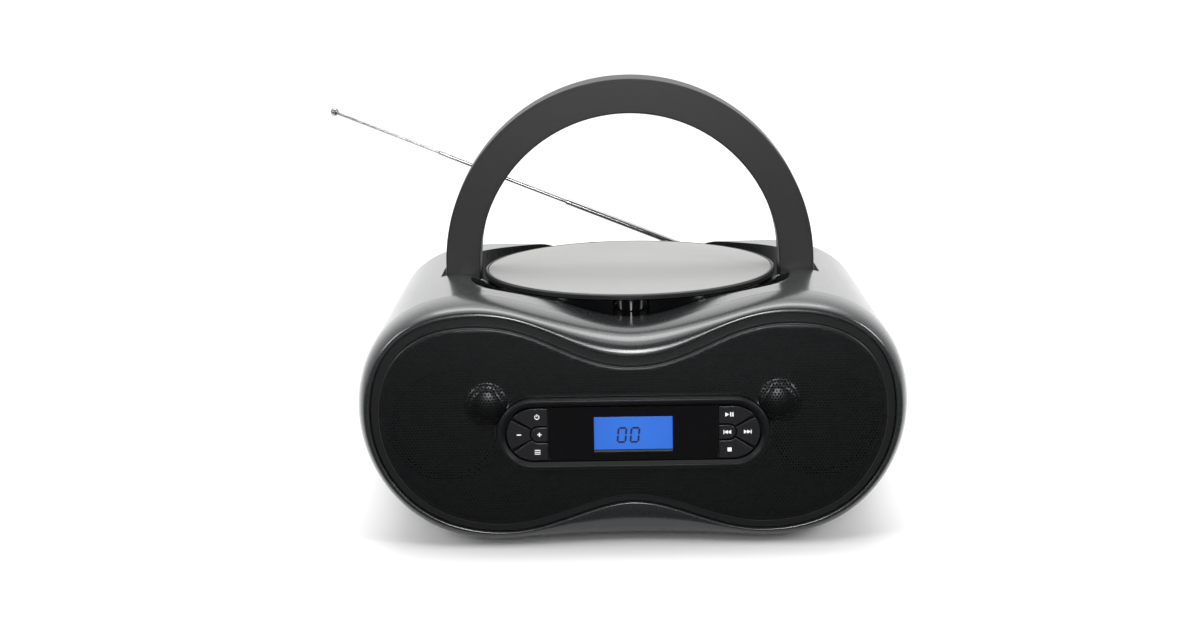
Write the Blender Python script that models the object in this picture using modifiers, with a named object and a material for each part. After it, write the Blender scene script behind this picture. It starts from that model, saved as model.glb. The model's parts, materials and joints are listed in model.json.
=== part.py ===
"""Boombox: a portable CD player and radio with a carrying handle and a telescopic antenna.

X runs to the viewer's right, Y to the back and Z up. The origin is in the middle of the
cabinet's flat underside. Sizes are in metres. A "depth" is measured back from the grille's
face, and y_at turns it into Y. The cabinet is seen from the front as two round lobes joined
by a waist, and most pieces of the casing are lofts or plates made from that outline.
"""

import math

import bmesh
import bpy
from mathutils import Matrix, Vector
from mathutils.geometry import interpolate_bezier

# ---- Casing -------------------------------------------------------------------------
BODY_WIDTH = 0.284
BODY_DEPTH = 0.236
BODY_HEIGHT = 0.1265          # top of the lobes at the bezel's seam
WAIST_DROP = 0.0168           # how far the waist lies below the lobes at the seam
REAR_DROP = 0.0105            # how far the top falls towards the back
REAR_TUCK = 0.003             # how far each side draws in towards the back
LOBE_INSET = 0.0607           # side of the cabinet to the top of its lobe
FOOT_INSET = 0.068            # side of the cabinet to the end of its flat underside
WALL = 0.0025
SEAM = 0.0004                 # gap between casing pieces
FIT = 0.0003                  # gap between pieces that rest on each other

BEZEL_DEPTH = 0.027
BEZEL_SIDE = 0.0121           # side of the cabinet to the grille's edge
BEZEL_TOP = 0.0118            # top of the lobe to the grille's edge
BEZEL_BOTTOM = 0.0108         # underside to the grille's edge
GRILLE_WAIST_TOP = 0.0166     # seam at the waist to the grille's edge below it
GRILLE_WAIST_RISE = 0.0152    # how far the grille's lower edge rises at the waist
RING_WIDTH = 0.0044           # black baffle seen round the grille
RING_DEPTH = 0.005            # depth of the baffle's face
LIP_HEIGHT = 0.0022           # bezel's inner edge in front of the baffle
LIP_RADIUS = 0.0010
BEZEL_SQUARENESS = 2.4        # 2 is an ellipse, more is squarer
BAFFLE_THICK = 0.003
GRILLE_THICK = 0.0008
REAR_COVER_DEPTH = 0.010
REAR_ROUNDING = 0.007

# ---- Loudspeakers -------------------------------------------------------------------
SPEAKER_RADIUS = 0.029
SPEAKER_LIP = 0.003
SPEAKER_INSET = 0.046         # side of the cabinet to the loudspeaker's centre
SPEAKER_DEPTH = 0.016
MAGNET_RADIUS = 0.018
MAGNET_THICK = 0.013
CONE_TRAVEL = 0.001
DOME_RADIUS = 0.0105
DOME_HEIGHT = 0.0032
DOME_RISE = 0.012             # above the middle of the grille
DOME_INSET = 0.0554           # grille's side to the dome's centre

# ---- Control panel ------------------------------------------------------------------
PANEL_LENGTH = 0.1392
PANEL_HEIGHT = 0.0374
PANEL_RIM = 0.0044
PANEL_RISE = 0.004            # in front of the grille
PANEL_DROP = 0.0035           # panel's middle below the grille's middle
PANEL_FLOOR = 0.002
KEY_GAP = 0.0007
KEY_TRAVEL = 0.0008
KEY_FACE_DEPTH = -0.0026
KEY_THICK = 0.0036
KEY_STEM_RADIUS = 0.0015
KEY_MIDDLE = 0.0037           # half height of the inner key
KEY_MIDDLE_LENGTH = 0.0085
WINDOW_HALF_LENGTH = 0.0426
WINDOW_THICK = 0.0015
WINDOW_FACE_DEPTH = -0.0024
LCD_WIDTH = 0.0396
LCD_SHARE = 0.595             # of the panel's height inside its rim
LCD_FRAME = 0.0025
SWITCH_SIZE = 0.005
BOARD_THICK = 0.0016

# ---- Compact-disc deck ---------------------------------------------------------------
DISC_RADIUS = 0.060
DISC_CLEARANCE = 0.0042
DRUM_LEDGE = 0.0143           # from the well round the disc to the drum's outside
LID_LIP = 0.0015              # lid's edge beyond the drum
DECK_TO_REAR = 0.112          # turntable's axis to the back of the cabinet
DRUM_WALL = 0.0018
HUB_HOLE_RADIUS = 0.017
LASER_SLOT_WIDTH = 0.016
LID_THICK = 0.0032
LID_BELOW_LOBES = 0.0046      # lid's top below the top of the lobes at the seam
LID_GAP = 0.0004
LID_PLATE_THICK = 0.0006
LID_RIM = 0.0016
DRUM_HEIGHT = 0.0193
DRUM_STEP = 0.0009            # drum's wall above the ledge inside it
WELL_DEPTH = 0.0129           # drum's top to the floor under the disc
FLOOR_THICK = 0.0018
SCOOP_RADIUS = 0.011
SCOOP_OFFSET = 0.0045         # scoop's axis outside the drum's wall
SCOOP_DROP = 0.0087
HINGE_BEHIND = 0.0875         # lid's hinge behind the turntable's axis
HINGE_BELOW = 0.0063          # lid's hinge below the drum's top
HINGE_RADIUS = 0.0036
HINGE_PIN_RADIUS = 0.0015
HINGE_EAR_INNER = 0.014
HINGE_EAR_THICK = 0.004
SPINDLE_RADIUS = 0.0015
HUB_RADIUS = 0.0145
MOTOR_RADIUS = 0.012
MOTOR_LENGTH = 0.010
CHASSIS_THICK = 0.0016
CHASSIS_BELOW = 0.008         # chassis's top below the well's floor
SLED_STOP = 0.004             # lens's last place inside the disc's edge
LENS_START = 0.024            # lens's centre from the turntable's axis
LENS_RADIUS = 0.0035
SLED_LENGTH = 0.018
SLED_HALF_WIDTH = 0.0175
SLED_HEIGHT = 0.0048
ROD_RADIUS = 0.00125
ROD_SPACING = 0.014           # each rod from the sled's middle line
GEAR_MODULE = 0.001
GEAR_TEETH = 12
BACKLASH = 0.0002

# ---- Carrying handle ------------------------------------------------------------------
HANDLE_WIDTH = 0.019          # seen from the front
HANDLE_THICK = 0.022          # front to back
HANDLE_OVER_LID = 0.002       # arch's inner radius less the lid's radius
HANDLE_RISE = 0.016           # arch's centre above the pivots
HANDLE_GAP = 0.003            # handle to the outer wall of its trench
SLOT_END_GAP = 0.0007
PIVOT_BELOW = 0.0083          # pivots below the drum's top
PIVOT_RADIUS = 0.003
PIVOT_FIT = 0.00015
PIVOT_HEAD_RADIUS = 0.0034
PIVOT_HEAD_THICK = 0.0014
TRENCH_FLOOR_GAP = 0.0005

# ---- Antenna ----------------------------------------------------------------------------
ANTENNA_X = 0.0385
ANTENNA_BEHIND = 0.010        # pivot behind the cabinet's back
ANTENNA_UP = 0.1080
ANTENNA_TILT = math.radians(22.2)
ANTENNA_RADII = (0.0019, 0.0014, 0.00095)
ANTENNA_BORE_GAP = 0.00015
ANTENNA_ENDS = (0.0816, 0.1634, 0.2280)
ANTENNA_STARTS = (0.0045, 0.0816, 0.1600)
ANTENNA_OVERLAP = 0.0075
ANTENNA_TIP_RADIUS = 0.0025
ANTENNA_SOCKET_DROP = 0.0135  # pivot to the top of the post that the swivel turns in
ANTENNA_POST_RADIUS = 0.0072
ANTENNA_POST_HEIGHT = 0.011
TANG_THICK = 0.0028

# ---- Power and the rest ------------------------------------------------------------------
BATTERY_HALF_LENGTH = 0.082
BATTERY_WIDTH = 0.060
BATTERY_HEIGHT = 0.030
BATTERY_TO_REAR = 0.037
DOOR_THICK = 0.0022
INLET_X = -0.088
INLET_UP = 0.040
INLET_WIDTH = 0.0165
INLET_HEIGHT = 0.0105
INLET_RECESS = 0.009
FOOT_RADIUS = 0.007
FOOT_THICK = 0.002
SCREW_HEAD_RADIUS = 0.0034
SCREW_RADIUS = 0.0015
SCREW_SINK = 0.0035           # screw head's seat below the back of the cabinet
SCREW_POST_RADIUS = 0.0050
SCREW_POST_LENGTH = 0.020
SCREW_BOSS_RADIUS = 0.0058
BOARD_POST_RADIUS = 0.003
BOARD_WIDTH = 0.110

STEPS = 8                     # points on each quarter of the outline
ROUND = 40                    # sides of a large turned piece
DECK_ROUND = 56               # sides of the drum and its lid

PARTS = "boombox"
CUTTERS = "cutters"


# ---- Sizes worked out from the ones above ---------------------------------------------
def y_at(depth):
    return depth - BODY_DEPTH / 2


REAR_TOP = BODY_HEIGHT - REAR_DROP
SIDE = BODY_WIDTH / 2
GRILLE_SIDE = SIDE - BEZEL_SIDE
GRILLE_TOP = BODY_HEIGHT - BEZEL_TOP
GRILLE_MIDDLE = (GRILLE_TOP + BEZEL_BOTTOM) / 2
PANEL_Z = GRILLE_MIDDLE - PANEL_DROP
LCD_HEIGHT = (PANEL_HEIGHT - 2 * PANEL_RIM) * LCD_SHARE
DISC_WELL_RADIUS = DISC_RADIUS + DISC_CLEARANCE
DRUM_RADIUS = DISC_WELL_RADIUS + DRUM_LEDGE
LID_RADIUS = DRUM_RADIUS + LID_LIP
LASER_SLOT_END = DISC_RADIUS + 0.002
SLED_TRAVEL = DISC_RADIUS - SLED_STOP - LENS_START
DECK_Y = y_at(BODY_DEPTH - DECK_TO_REAR)
LID_TOP = BODY_HEIGHT - LID_BELOW_LOBES
LID_BOTTOM = LID_TOP - LID_THICK
DRUM_TOP = LID_BOTTOM - LID_GAP
DRUM_BOTTOM = DRUM_TOP - DRUM_HEIGHT
WELL_FLOOR = DRUM_TOP - WELL_DEPTH
WELL_UNDER = WELL_FLOOR - FLOOR_THICK
LEDGE_TOP = DRUM_TOP - DRUM_STEP
RECESS_FLOOR = DRUM_BOTTOM - 0.0005
HINGE_Y = DECK_Y + HINGE_BEHIND
HINGE_Z = DRUM_TOP - HINGE_BELOW
HANDLE_INNER = LID_RADIUS + HANDLE_OVER_LID
HANDLE_OUTER = HANDLE_INNER + HANDLE_WIDTH
PIVOT_Z = DRUM_TOP - PIVOT_BELOW
ARCH_Z = PIVOT_Z + HANDLE_RISE
TRENCH_RADIUS = HANDLE_OUTER + HANDLE_GAP
TRENCH_Y = DECK_Y + HANDLE_RISE
SLOT_FRONT_Y = DECK_Y - HANDLE_THICK / 2 - SLOT_END_GAP
CHASSIS_TOP = WELL_UNDER - CHASSIS_BELOW
COVER_DEPTH_AT = BODY_DEPTH - REAR_COVER_DEPTH
BATTERY_BACK = BODY_DEPTH - BATTERY_TO_REAR


# ---- Outlines: loops of (x, z) seen from the front -------------------------------------
def quarter(start, start_reach, end_reach, end):
    """One Bezier stretch of an outline, without its last point."""
    handle_a = Vector(start) + Vector(start_reach)
    handle_b = Vector(end) + Vector(end_reach)
    return interpolate_bezier(Vector(start), handle_a, handle_b, Vector(end), STEPS + 1)[:-1]


def lobed_outline(middle_top, lobe_top, side, lobe_bottom, middle_bottom, across, up):
    """Two lobes and a waist. across and up are the lengths of the Bezier handles, from the top
    middle round, as shares of the cabinet's half width and of its height."""
    across = [share * SIDE for share in across]
    up = [share * BODY_HEIGHT for share in up]
    right = quarter((0, middle_top), (across[0], 0), (-across[1], 0), lobe_top)
    right += quarter(lobe_top, (across[2], 0), (0, up[0]), side)
    right += quarter(side, (0, -up[1]), (across[3], 0), lobe_bottom)
    right += quarter(lobe_bottom, (-across[4], 0), (across[5], 0), (0, middle_bottom))
    right = [(point.x, point.y) for point in right] + [(0, middle_bottom)]
    left = [(-x, z) for x, z in reversed(right[1:-1])]
    return right + left


def offset(loop, distance):
    """The loop moved outwards by distance. It runs clockwise seen from the front."""
    moved = []
    for index, (x, z) in enumerate(loop):
        before = Vector(loop[index - 1])
        after = Vector(loop[(index + 1) % len(loop)])
        here = Vector((x, z))
        first = (here - before).normalized()
        second = (after - here).normalized()
        along = (first + second).normalized()
        outward = Vector((-along.y, along.x))
        stretch = max(0.5, along.dot(first))
        moved.append(tuple(here + outward * distance / stretch))
    return moved


def blend(loop_a, loop_b, share):
    return [
        (xa + (xb - xa) * share, za + (zb - za) * share)
        for (xa, za), (xb, zb) in zip(loop_a, loop_b)
    ]


GRILLE_LOOP = lobed_outline(
    BODY_HEIGHT - WAIST_DROP - GRILLE_WAIST_TOP,
    (GRILLE_SIDE - 0.0498, GRILLE_TOP),
    (GRILLE_SIDE, GRILLE_MIDDLE + 0.006),
    (GRILLE_SIDE - 0.0628, BEZEL_BOTTOM),
    BEZEL_BOTTOM + GRILLE_WAIST_RISE,
    (0.222, 0.245, 0.214, 0.298, 0.178, 0.156),
    (0.256, 0.221),
)
SEAM_LOOP = lobed_outline(
    BODY_HEIGHT - WAIST_DROP,
    (SIDE - LOBE_INSET, BODY_HEIGHT),
    (SIDE, BODY_HEIGHT / 2 + 0.007),
    (SIDE - FOOT_INSET, 0),
    0,
    (0.167, 0.166, 0.292, 0.296, 0.141, 0.141),
    (0.247, 0.261),
)
REAR_LOOP = lobed_outline(
    REAR_TOP - 0.001,
    (SIDE - LOBE_INSET, REAR_TOP),
    (SIDE - REAR_TUCK, BODY_HEIGHT / 2 + 0.004),
    (SIDE - FOOT_INSET, 0),
    0,
    (0.167, 0.166, 0.268, 0.282, 0.141, 0.141),
    (0.245, 0.261),
)


def body_loop(depth):
    """The cabinet's outline at a depth behind the bezel's seam."""
    return blend(SEAM_LOOP, REAR_LOOP, (depth - BEZEL_DEPTH) / (BODY_DEPTH - BEZEL_DEPTH))


def at_depth(loop, depth):
    return [(x, y_at(depth), z) for x, z in loop]


def arc(centre, radius, start, end, count):
    """count + 1 points of a circle, angles in degrees."""
    points = []
    for step in range(count + 1):
        angle = math.radians(start + (end - start) * step / count)
        points.append((centre[0] + radius * math.cos(angle), centre[1] + radius * math.sin(angle)))
    return points


def pill(half_length, half_height, count=10):
    right = arc((half_length - half_height, 0), half_height, -90, 90, count)
    left = arc((half_height - half_length, 0), half_height, 90, 270, count)
    return right + left


# ---- Making objects ----------------------------------------------------------------------
def clear_scene():
    for obj in list(bpy.data.objects):
        bpy.data.objects.remove(obj, do_unlink=True)


def new_collection(name):
    collection = bpy.data.collections.new(name)
    bpy.context.scene.collection.children.link(collection)
    return collection


def material(name, color, roughness, metallic=0.0):
    made = bpy.data.materials.new(name)
    made.use_nodes = True
    shader = made.node_tree.nodes["Principled BSDF"]
    shader.inputs["Base Color"].default_value = (*color, 1)
    shader.inputs["Roughness"].default_value = roughness
    shader.inputs["Metallic"].default_value = metallic
    return made


def add(name, mesh, finish=None, smooth=True):
    """A part when it has a finish, a cutter when it has none."""
    obj = bpy.data.objects.new(name, mesh)
    if finish is None:
        bpy.data.collections[CUTTERS].objects.link(obj)
        obj.hide_render = True
        obj.display_type = "WIRE"
        return obj
    bpy.data.collections[PARTS].objects.link(obj)
    mesh.materials.append(finish)
    if smooth:
        mesh.shade_smooth()
        mesh.set_sharp_from_angle(angle=math.radians(35))
    return obj


def mesh_from(build, name):
    shape = bmesh.new()
    build(shape)
    mesh = bpy.data.meshes.new(name)
    shape.to_mesh(mesh)
    shape.free()
    return mesh


def box(name, low, high, finish=None):
    size = Vector(high) - Vector(low)
    middle = (Vector(high) + Vector(low)) / 2
    scale = Matrix.Diagonal((*size, 1))
    mesh = mesh_from(lambda shape: bmesh.ops.create_cube(shape, size=1, matrix=scale), name)
    obj = add(name, mesh, finish, smooth=False)
    obj.location = middle
    return obj


AXIS_TURN = {
    "X": (0, math.pi / 2, 0),
    "Y": (-math.pi / 2, 0, 0),
    "Z": (0, 0, 0),
}


def cylinder(name, radius, start, length, axis, finish=None, sides=24):
    """A cylinder from start along an axis."""

    def build(shape):
        bmesh.ops.create_cone(
            shape, cap_ends=True, segments=sides, radius1=radius, radius2=radius,
            depth=length, matrix=Matrix.Translation((0, 0, length / 2)),
        )

    obj = add(name, mesh_from(build, name), finish)
    obj.location = start
    obj.rotation_euler = AXIS_TURN[axis]
    return obj


def turned(name, profile, place, axis, finish=None, steps=ROUND):
    """A profile of (radius, height) swept round an axis. Its outer side runs from top to bottom."""
    mesh = bpy.data.meshes.new(name)
    points = [(radius, 0, height) for radius, height in profile]
    edges = [(i, i + 1) for i in range(len(points) - 1)]
    if profile[0][0] > 0:
        edges.append((len(points) - 1, 0))
    mesh.from_pydata(points, edges, [])
    obj = add(name, mesh, finish, smooth=False)
    obj.location = place
    obj.rotation_euler = AXIS_TURN[axis]
    screw = obj.modifiers.new("turn", "SCREW")
    screw.steps = steps
    screw.render_steps = steps
    screw.use_merge_vertices = True
    screw.merge_threshold = 0.00001
    screw.use_smooth_shade = True
    return obj


PLATE_TURN = {
    "X": Matrix(((0, 0, 1), (1, 0, 0), (0, 1, 0))),
    "Y": Matrix(((1, 0, 0), (0, 0, -1), (0, 1, 0))),
    "Z": Matrix.Identity(3),
}


def plate(name, loop, low, high, axis, finish=None, place=(0, 0, 0)):
    """A flat outline given as points in the plane across an axis, filling low to high along it."""
    curve = bpy.data.curves.new(name, "CURVE")
    curve.dimensions = "2D"
    curve.fill_mode = "BOTH"
    curve.extrude = (high - low) / 2
    spline = curve.splines.new("POLY")
    spline.points.add(len(loop) - 1)
    for point, (u, v) in zip(spline.points, loop):
        point.co = (u, v, 0, 1)
    spline.use_cyclic_u = True
    guide = bpy.data.objects.new(name + "_guide", curve)
    bpy.context.scene.collection.objects.link(guide)
    graph = bpy.context.evaluated_depsgraph_get()
    mesh = bpy.data.meshes.new_from_object(guide.evaluated_get(graph))
    bpy.data.objects.remove(guide)
    shape = bmesh.new()
    shape.from_mesh(mesh)
    bmesh.ops.remove_doubles(shape, verts=shape.verts, dist=0.000001)
    # Each cap becomes one face, as the Booleans want it.
    for side in (-1, 1):
        cap = [face for face in shape.faces if all(vert.co.z * side > 0 for vert in face.verts)]
        bmesh.ops.dissolve_faces(shape, faces=cap)
    bmesh.ops.recalc_face_normals(shape, faces=shape.faces)
    turn = PLATE_TURN[axis].to_4x4()
    along = turn.to_3x3() @ Vector((0, 0, 1))
    if axis == "Y":
        along = Vector((0, 1, 0))
    bmesh.ops.transform(shape, matrix=turn, verts=shape.verts)
    bmesh.ops.translate(shape, vec=along * (low + high) / 2, verts=shape.verts)
    shape.to_mesh(mesh)
    shape.free()
    mesh.name = name
    obj = add(name, mesh, finish)
    obj.location = place
    return obj


def loft(name, rings, finish=None, endless=False):
    """Rings of 3D points with equal counts, joined in turn. endless joins the last to the first."""

    def build(shape):
        rows = [[shape.verts.new(point) for point in ring] for ring in rings]
        pairs = list(zip(rows, rows[1:]))
        if endless:
            pairs.append((rows[-1], rows[0]))
        for near, far in pairs:
            for i in range(len(near)):
                j = (i + 1) % len(near)
                shape.faces.new((near[i], near[j], far[j], far[i]))
        if not endless:
            shape.faces.new(list(reversed(rows[0])))
            shape.faces.new(rows[-1])
        bmesh.ops.recalc_face_normals(shape, faces=shape.faces)

    return add(name, mesh_from(build, name), finish)


def boolean(obj, other, operation):
    step = obj.modifiers.new(other.name, "BOOLEAN")
    step.operation = operation
    step.object = other
    step.solver = "EXACT"
    return obj


def cut(obj, *cutters):
    for cutter in cutters:
        boolean(obj, cutter, "DIFFERENCE")
    return obj


def join(obj, *pieces):
    for piece in pieces:
        boolean(obj, piece, "UNION")
    return obj


def soften(obj, width, segments=2, angle=40):
    step = obj.modifiers.new("soften", "BEVEL")
    step.width = width
    step.segments = segments
    step.limit_method = "ANGLE"
    step.angle_limit = math.radians(angle)
    return obj


def mirrored(sides=((-1, "left"), (1, "right"))):
    return sides


# ---- Finishes -------------------------------------------------------------------------------
def finishes():
    return {
        "charcoal": material("charcoal_plastic", (0.055, 0.058, 0.060), 0.28),
        "handle": material("handle_plastic", (0.040, 0.040, 0.038), 0.38),
        "black": material("black_plastic", (0.012, 0.012, 0.013), 0.45),
        "gloss": material("gloss_black", (0.008, 0.008, 0.009), 0.12),
        "grille": material("grille_metal", (0.016, 0.016, 0.017), 0.40, 0.7),
        "key": material("key_plastic", (0.022, 0.022, 0.024), 0.30),
        "lid": material("lid_plate", (0.48, 0.48, 0.47), 0.38, 0.5),
        "display": material("display_glass", (0.05, 0.22, 0.95), 0.25),
        "board": material("board", (0.02, 0.16, 0.07), 0.50),
        "steel": material("steel", (0.55, 0.56, 0.58), 0.30, 1.0),
        "chrome": material("chrome", (0.78, 0.78, 0.80), 0.12, 1.0),
        "paper": material("cone_paper", (0.05, 0.05, 0.05), 0.85),
        "rubber": material("rubber", (0.02, 0.02, 0.02), 0.80),
        "lens": material("lens_glass", (0.30, 0.30, 0.55), 0.05),
        "white": material("white_plastic", (0.75, 0.75, 0.72), 0.40),
        "copper": material("spring_contact", (0.70, 0.68, 0.60), 0.30, 1.0),
    }


# ---- Front ----------------------------------------------------------------------------------
def front_bezel(finish):
    inner = offset(GRILLE_LOOP, RING_WIDTH)
    crest = offset(GRILLE_LOOP, RING_WIDTH + LIP_RADIUS)
    crest_depth = RING_DEPTH - LIP_HEIGHT
    rings = [at_depth(inner, RING_DEPTH + BAFFLE_THICK)]
    for degrees in (0, 45):
        angle = math.radians(degrees)
        lip = offset(GRILLE_LOOP, RING_WIDTH + LIP_RADIUS * (1 - math.cos(angle)))
        rings.append(at_depth(lip, crest_depth + LIP_RADIUS * (1 - math.sin(angle))))
    rings.append(at_depth(crest, crest_depth))
    rings += bezel_skin(crest, SEAM_LOOP, crest_depth, (20, 38, 55, 72, 90))
    inside_crest = offset(GRILLE_LOOP, RING_WIDTH + WALL)
    inside_seam = offset(SEAM_LOOP, -WALL)
    inside = bezel_skin(inside_crest, inside_seam, RING_DEPTH + BAFFLE_THICK, (0, 45, 90))
    rings += reversed(inside)
    return loft("front_bezel", rings, finish, endless=True)


def bezel_skin(front, back, front_depth, degrees):
    """Rings on the rounded skin between the lip and the seam."""
    power = 2 / BEZEL_SQUARENESS
    rings = []
    for step in degrees:
        angle = math.radians(step)
        out = math.sin(angle) ** power
        rearward = 1 - abs(math.cos(angle)) ** power if step < 90 else 1
        depth = front_depth + (BEZEL_DEPTH - front_depth) * rearward
        rings.append(at_depth(blend(front, back, out), depth))
    return rings


def speaker_baffle(finish):
    edge = offset(GRILLE_LOOP, RING_WIDTH - FIT)
    low, high = y_at(RING_DEPTH), y_at(RING_DEPTH + BAFFLE_THICK)
    obj = plate("speaker_baffle", edge, low, high, "Y", finish)
    for side, word in mirrored():
        place = (side * (SIDE - SPEAKER_INSET), low - WALL, GRILLE_MIDDLE)
        hole = cylinder(f"baffle_hole_{word}", SPEAKER_RADIUS, place, 3 * WALL, "Y", sides=ROUND)
        cut(obj, hole)
    slot = pill(PANEL_LENGTH / 2 - 0.0065, PANEL_HEIGHT / 2 - 0.004)
    return cut(obj, plate("baffle_slot", slot, low - WALL, high + WALL, "Y", None, (0, 0, PANEL_Z)))


def speaker_grille(finish):
    back = RING_DEPTH - FIT
    obj = plate("speaker_grille", GRILLE_LOOP, y_at(0), y_at(back), "Y", finish)
    inner = offset(GRILLE_LOOP, -GRILLE_THICK)
    cut(obj, plate("grille_pan", inner, y_at(GRILLE_THICK), y_at(back + WALL), "Y"))
    for side, word in mirrored():
        place = (side * (GRILLE_SIDE - DOME_INSET), y_at(GRILLE_THICK / 2), GRILLE_MIDDLE + DOME_RISE)
        join(obj, turned(f"grille_dome_{word}", dome_profile(), place, "Y", steps=24))
    hole = pill(PANEL_LENGTH / 2 + FIT, PANEL_HEIGHT / 2 + FIT)
    front = y_at(-DOME_HEIGHT - WALL)
    return cut(obj, plate("grille_hole", hole, front, y_at(back + WALL), "Y", None, (0, 0, PANEL_Z)))


def dome_profile():
    """Stepped dome, its height counted backwards from the grille."""
    step = DOME_RADIUS * 0.82
    low = DOME_HEIGHT * 0.35
    crown = [
        (step * math.cos(math.radians(angle)), -low - (DOME_HEIGHT - low) * math.sin(math.radians(angle)))
        for angle in (0, 30, 60, 90)
    ]
    crown[-1] = (0, -DOME_HEIGHT)
    return [(0, 0), (DOME_RADIUS, 0), (DOME_RADIUS, -low * 0.6), (DOME_RADIUS * 0.94, -low)] + crown


# ---- Control panel ----------------------------------------------------------------------------
def panel_frame(finish):
    back = RING_DEPTH - FIT
    middle = (0, 0, PANEL_Z)
    outer = pill(PANEL_LENGTH / 2, PANEL_HEIGHT / 2)
    obj = plate("panel_frame", outer, y_at(-PANEL_RISE), y_at(back), "Y", finish, middle)
    soften(obj, 0.0012, 2)
    pocket = pill(PANEL_LENGTH / 2 - PANEL_RIM, PANEL_HEIGHT / 2 - PANEL_RIM)
    front = y_at(-PANEL_RISE - WALL)
    cut(obj, plate("panel_pocket", pocket, front, y_at(back - PANEL_FLOOR), "Y", None, middle))
    for name, (x, z) in stem_places().items():
        place = (x, y_at(0), PANEL_Z + z)
        cut(obj, cylinder(f"stem_hole_{name}", KEY_STEM_RADIUS + KEY_GAP, place, 0.02, "Y", sides=12))
    cable = 0.010
    return cut(
        obj,
        box("display_cable_hole", (-cable, y_at(0), PANEL_Z - 0.004), (cable, y_at(0.02), PANEL_Z + 0.004)),
    )


def key_end():
    """Half length of the straight stretch of the keys' field."""
    return PANEL_LENGTH / 2 - PANEL_HEIGHT / 2


def key_outlines():
    """The four keys of the right group, as loops about the panel's middle."""
    outer = PANEL_HEIGHT / 2 - PANEL_RIM - KEY_GAP
    inner = KEY_MIDDLE + KEY_GAP
    window = WINDOW_HALF_LENGTH + FIT + KEY_GAP
    nub = window + KEY_MIDDLE_LENGTH - KEY_MIDDLE
    end = key_end()
    part = 38
    spread = math.degrees(KEY_GAP / (outer * 0.8))
    top = [(window, inner), (window, outer)] + arc((end, 0), outer, 90, part + spread, 4)
    top += arc((nub, 0), inner, part + spread, 90, 3)
    outer_arc = arc((end, 0), outer, part - spread, spread - part, 6)
    outer_arc += arc((nub, 0), inner, spread - part, part - spread, 5)
    middle = [(window, -KEY_MIDDLE)] + arc((nub, 0), KEY_MIDDLE, -90, 90, 6) + [(window, KEY_MIDDLE)]
    bottom = [(x, -z) for x, z in top]
    return {"upper": top, "outer": outer_arc, "inner": middle, "lower": bottom}


def key_names():
    return {
        "power_function_key": (-1, "upper"),
        "volume_down_key": (-1, "outer"),
        "volume_up_key": (-1, "inner"),
        "mode_key": (-1, "lower"),
        "play_pause_key": (1, "upper"),
        "previous_key": (1, "inner"),
        "next_key": (1, "outer"),
        "stop_key": (1, "lower"),
    }


def stem_places():
    """Where each key's stem stands, from the panel's middle."""
    outer = PANEL_HEIGHT / 2 - PANEL_RIM
    window = WINDOW_HALF_LENGTH + KEY_MIDDLE_LENGTH / 2
    places = {
        "upper": (window + 0.0015, (KEY_MIDDLE + outer) / 2),
        "lower": (window + 0.0015, -(KEY_MIDDLE + outer) / 2),
        "inner": (window, 0),
        "outer": ((key_end() + outer + window + KEY_MIDDLE_LENGTH / 2) / 2, 0),
    }
    found = {}
    for name, (side, place) in key_names().items():
        x, z = places[place]
        found[name] = (side * x, z)
    return found


def keys(finish):
    outlines = key_outlines()
    stems = stem_places()
    stem_end = RING_DEPTH + BAFFLE_THICK - 0.001
    for name, (side, place) in key_names().items():
        loop = [(side * x, z) for x, z in outlines[place]]
        middle = (0, 0, PANEL_Z)
        back = KEY_FACE_DEPTH + KEY_THICK
        obj = plate(name, loop, y_at(KEY_FACE_DEPTH), y_at(back), "Y", finish, middle)
        soften(obj, 0.0003, 1)
        x, z = stems[name]
        stem_start = (x, y_at(back - FIT), PANEL_Z + z)
        length = stem_end - back + FIT
        join(obj, cylinder(f"{name}_stem", KEY_STEM_RADIUS, stem_start, length, "Y", sides=10))


def display(window_finish, lcd_finish):
    half_height = PANEL_HEIGHT / 2 - PANEL_RIM - FIT
    low = (-WINDOW_HALF_LENGTH, y_at(WINDOW_FACE_DEPTH), PANEL_Z - half_height)
    high = (WINDOW_HALF_LENGTH, y_at(WINDOW_FACE_DEPTH + WINDOW_THICK), PANEL_Z + half_height)
    window = box("display_window", low, high, window_finish)
    across, up = LCD_WIDTH / 2, LCD_HEIGHT / 2
    front = WINDOW_FACE_DEPTH - WALL
    cut(
        window,
        box(
            "lcd_aperture",
            (-across - FIT, y_at(front), PANEL_Z - up - FIT),
            (across + FIT, y_at(WINDOW_FACE_DEPTH + WALL), PANEL_Z + up + FIT),
        ),
    )
    body_front = WINDOW_FACE_DEPTH + WINDOW_THICK + FIT
    lcd = box(
        "lcd_module",
        (-across - LCD_FRAME, y_at(body_front), PANEL_Z - up - LCD_FRAME),
        (across + LCD_FRAME, y_at(body_front + 0.0028), PANEL_Z + up + LCD_FRAME),
        lcd_finish,
    )
    face = box(
        "lcd_face",
        (-across, y_at(WINDOW_FACE_DEPTH + 0.0006), PANEL_Z - up),
        (across, y_at(body_front + 0.001), PANEL_Z + up),
    )
    join(lcd, face)


def key_board(finish):
    board_front = RING_DEPTH + BAFFLE_THICK + 0.003
    half = PANEL_LENGTH / 2 - 0.0078
    up = PANEL_HEIGHT / 2 - 0.006
    obj = box(
        "key_board",
        (-half, y_at(board_front), PANEL_Z - up),
        (half, y_at(board_front + BOARD_THICK), PANEL_Z + up),
        finish,
    )
    stem_end = RING_DEPTH + BAFFLE_THICK - 0.001
    switch_front = stem_end + KEY_TRAVEL + FIT
    for name, (x, z) in stem_places().items():
        half_size = SWITCH_SIZE / 2
        low = (x - half_size, y_at(switch_front), PANEL_Z + z - half_size)
        high = (x + half_size, y_at(board_front + FIT), PANEL_Z + z + half_size)
        join(obj, box(f"{name}_switch", low, high))


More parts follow.
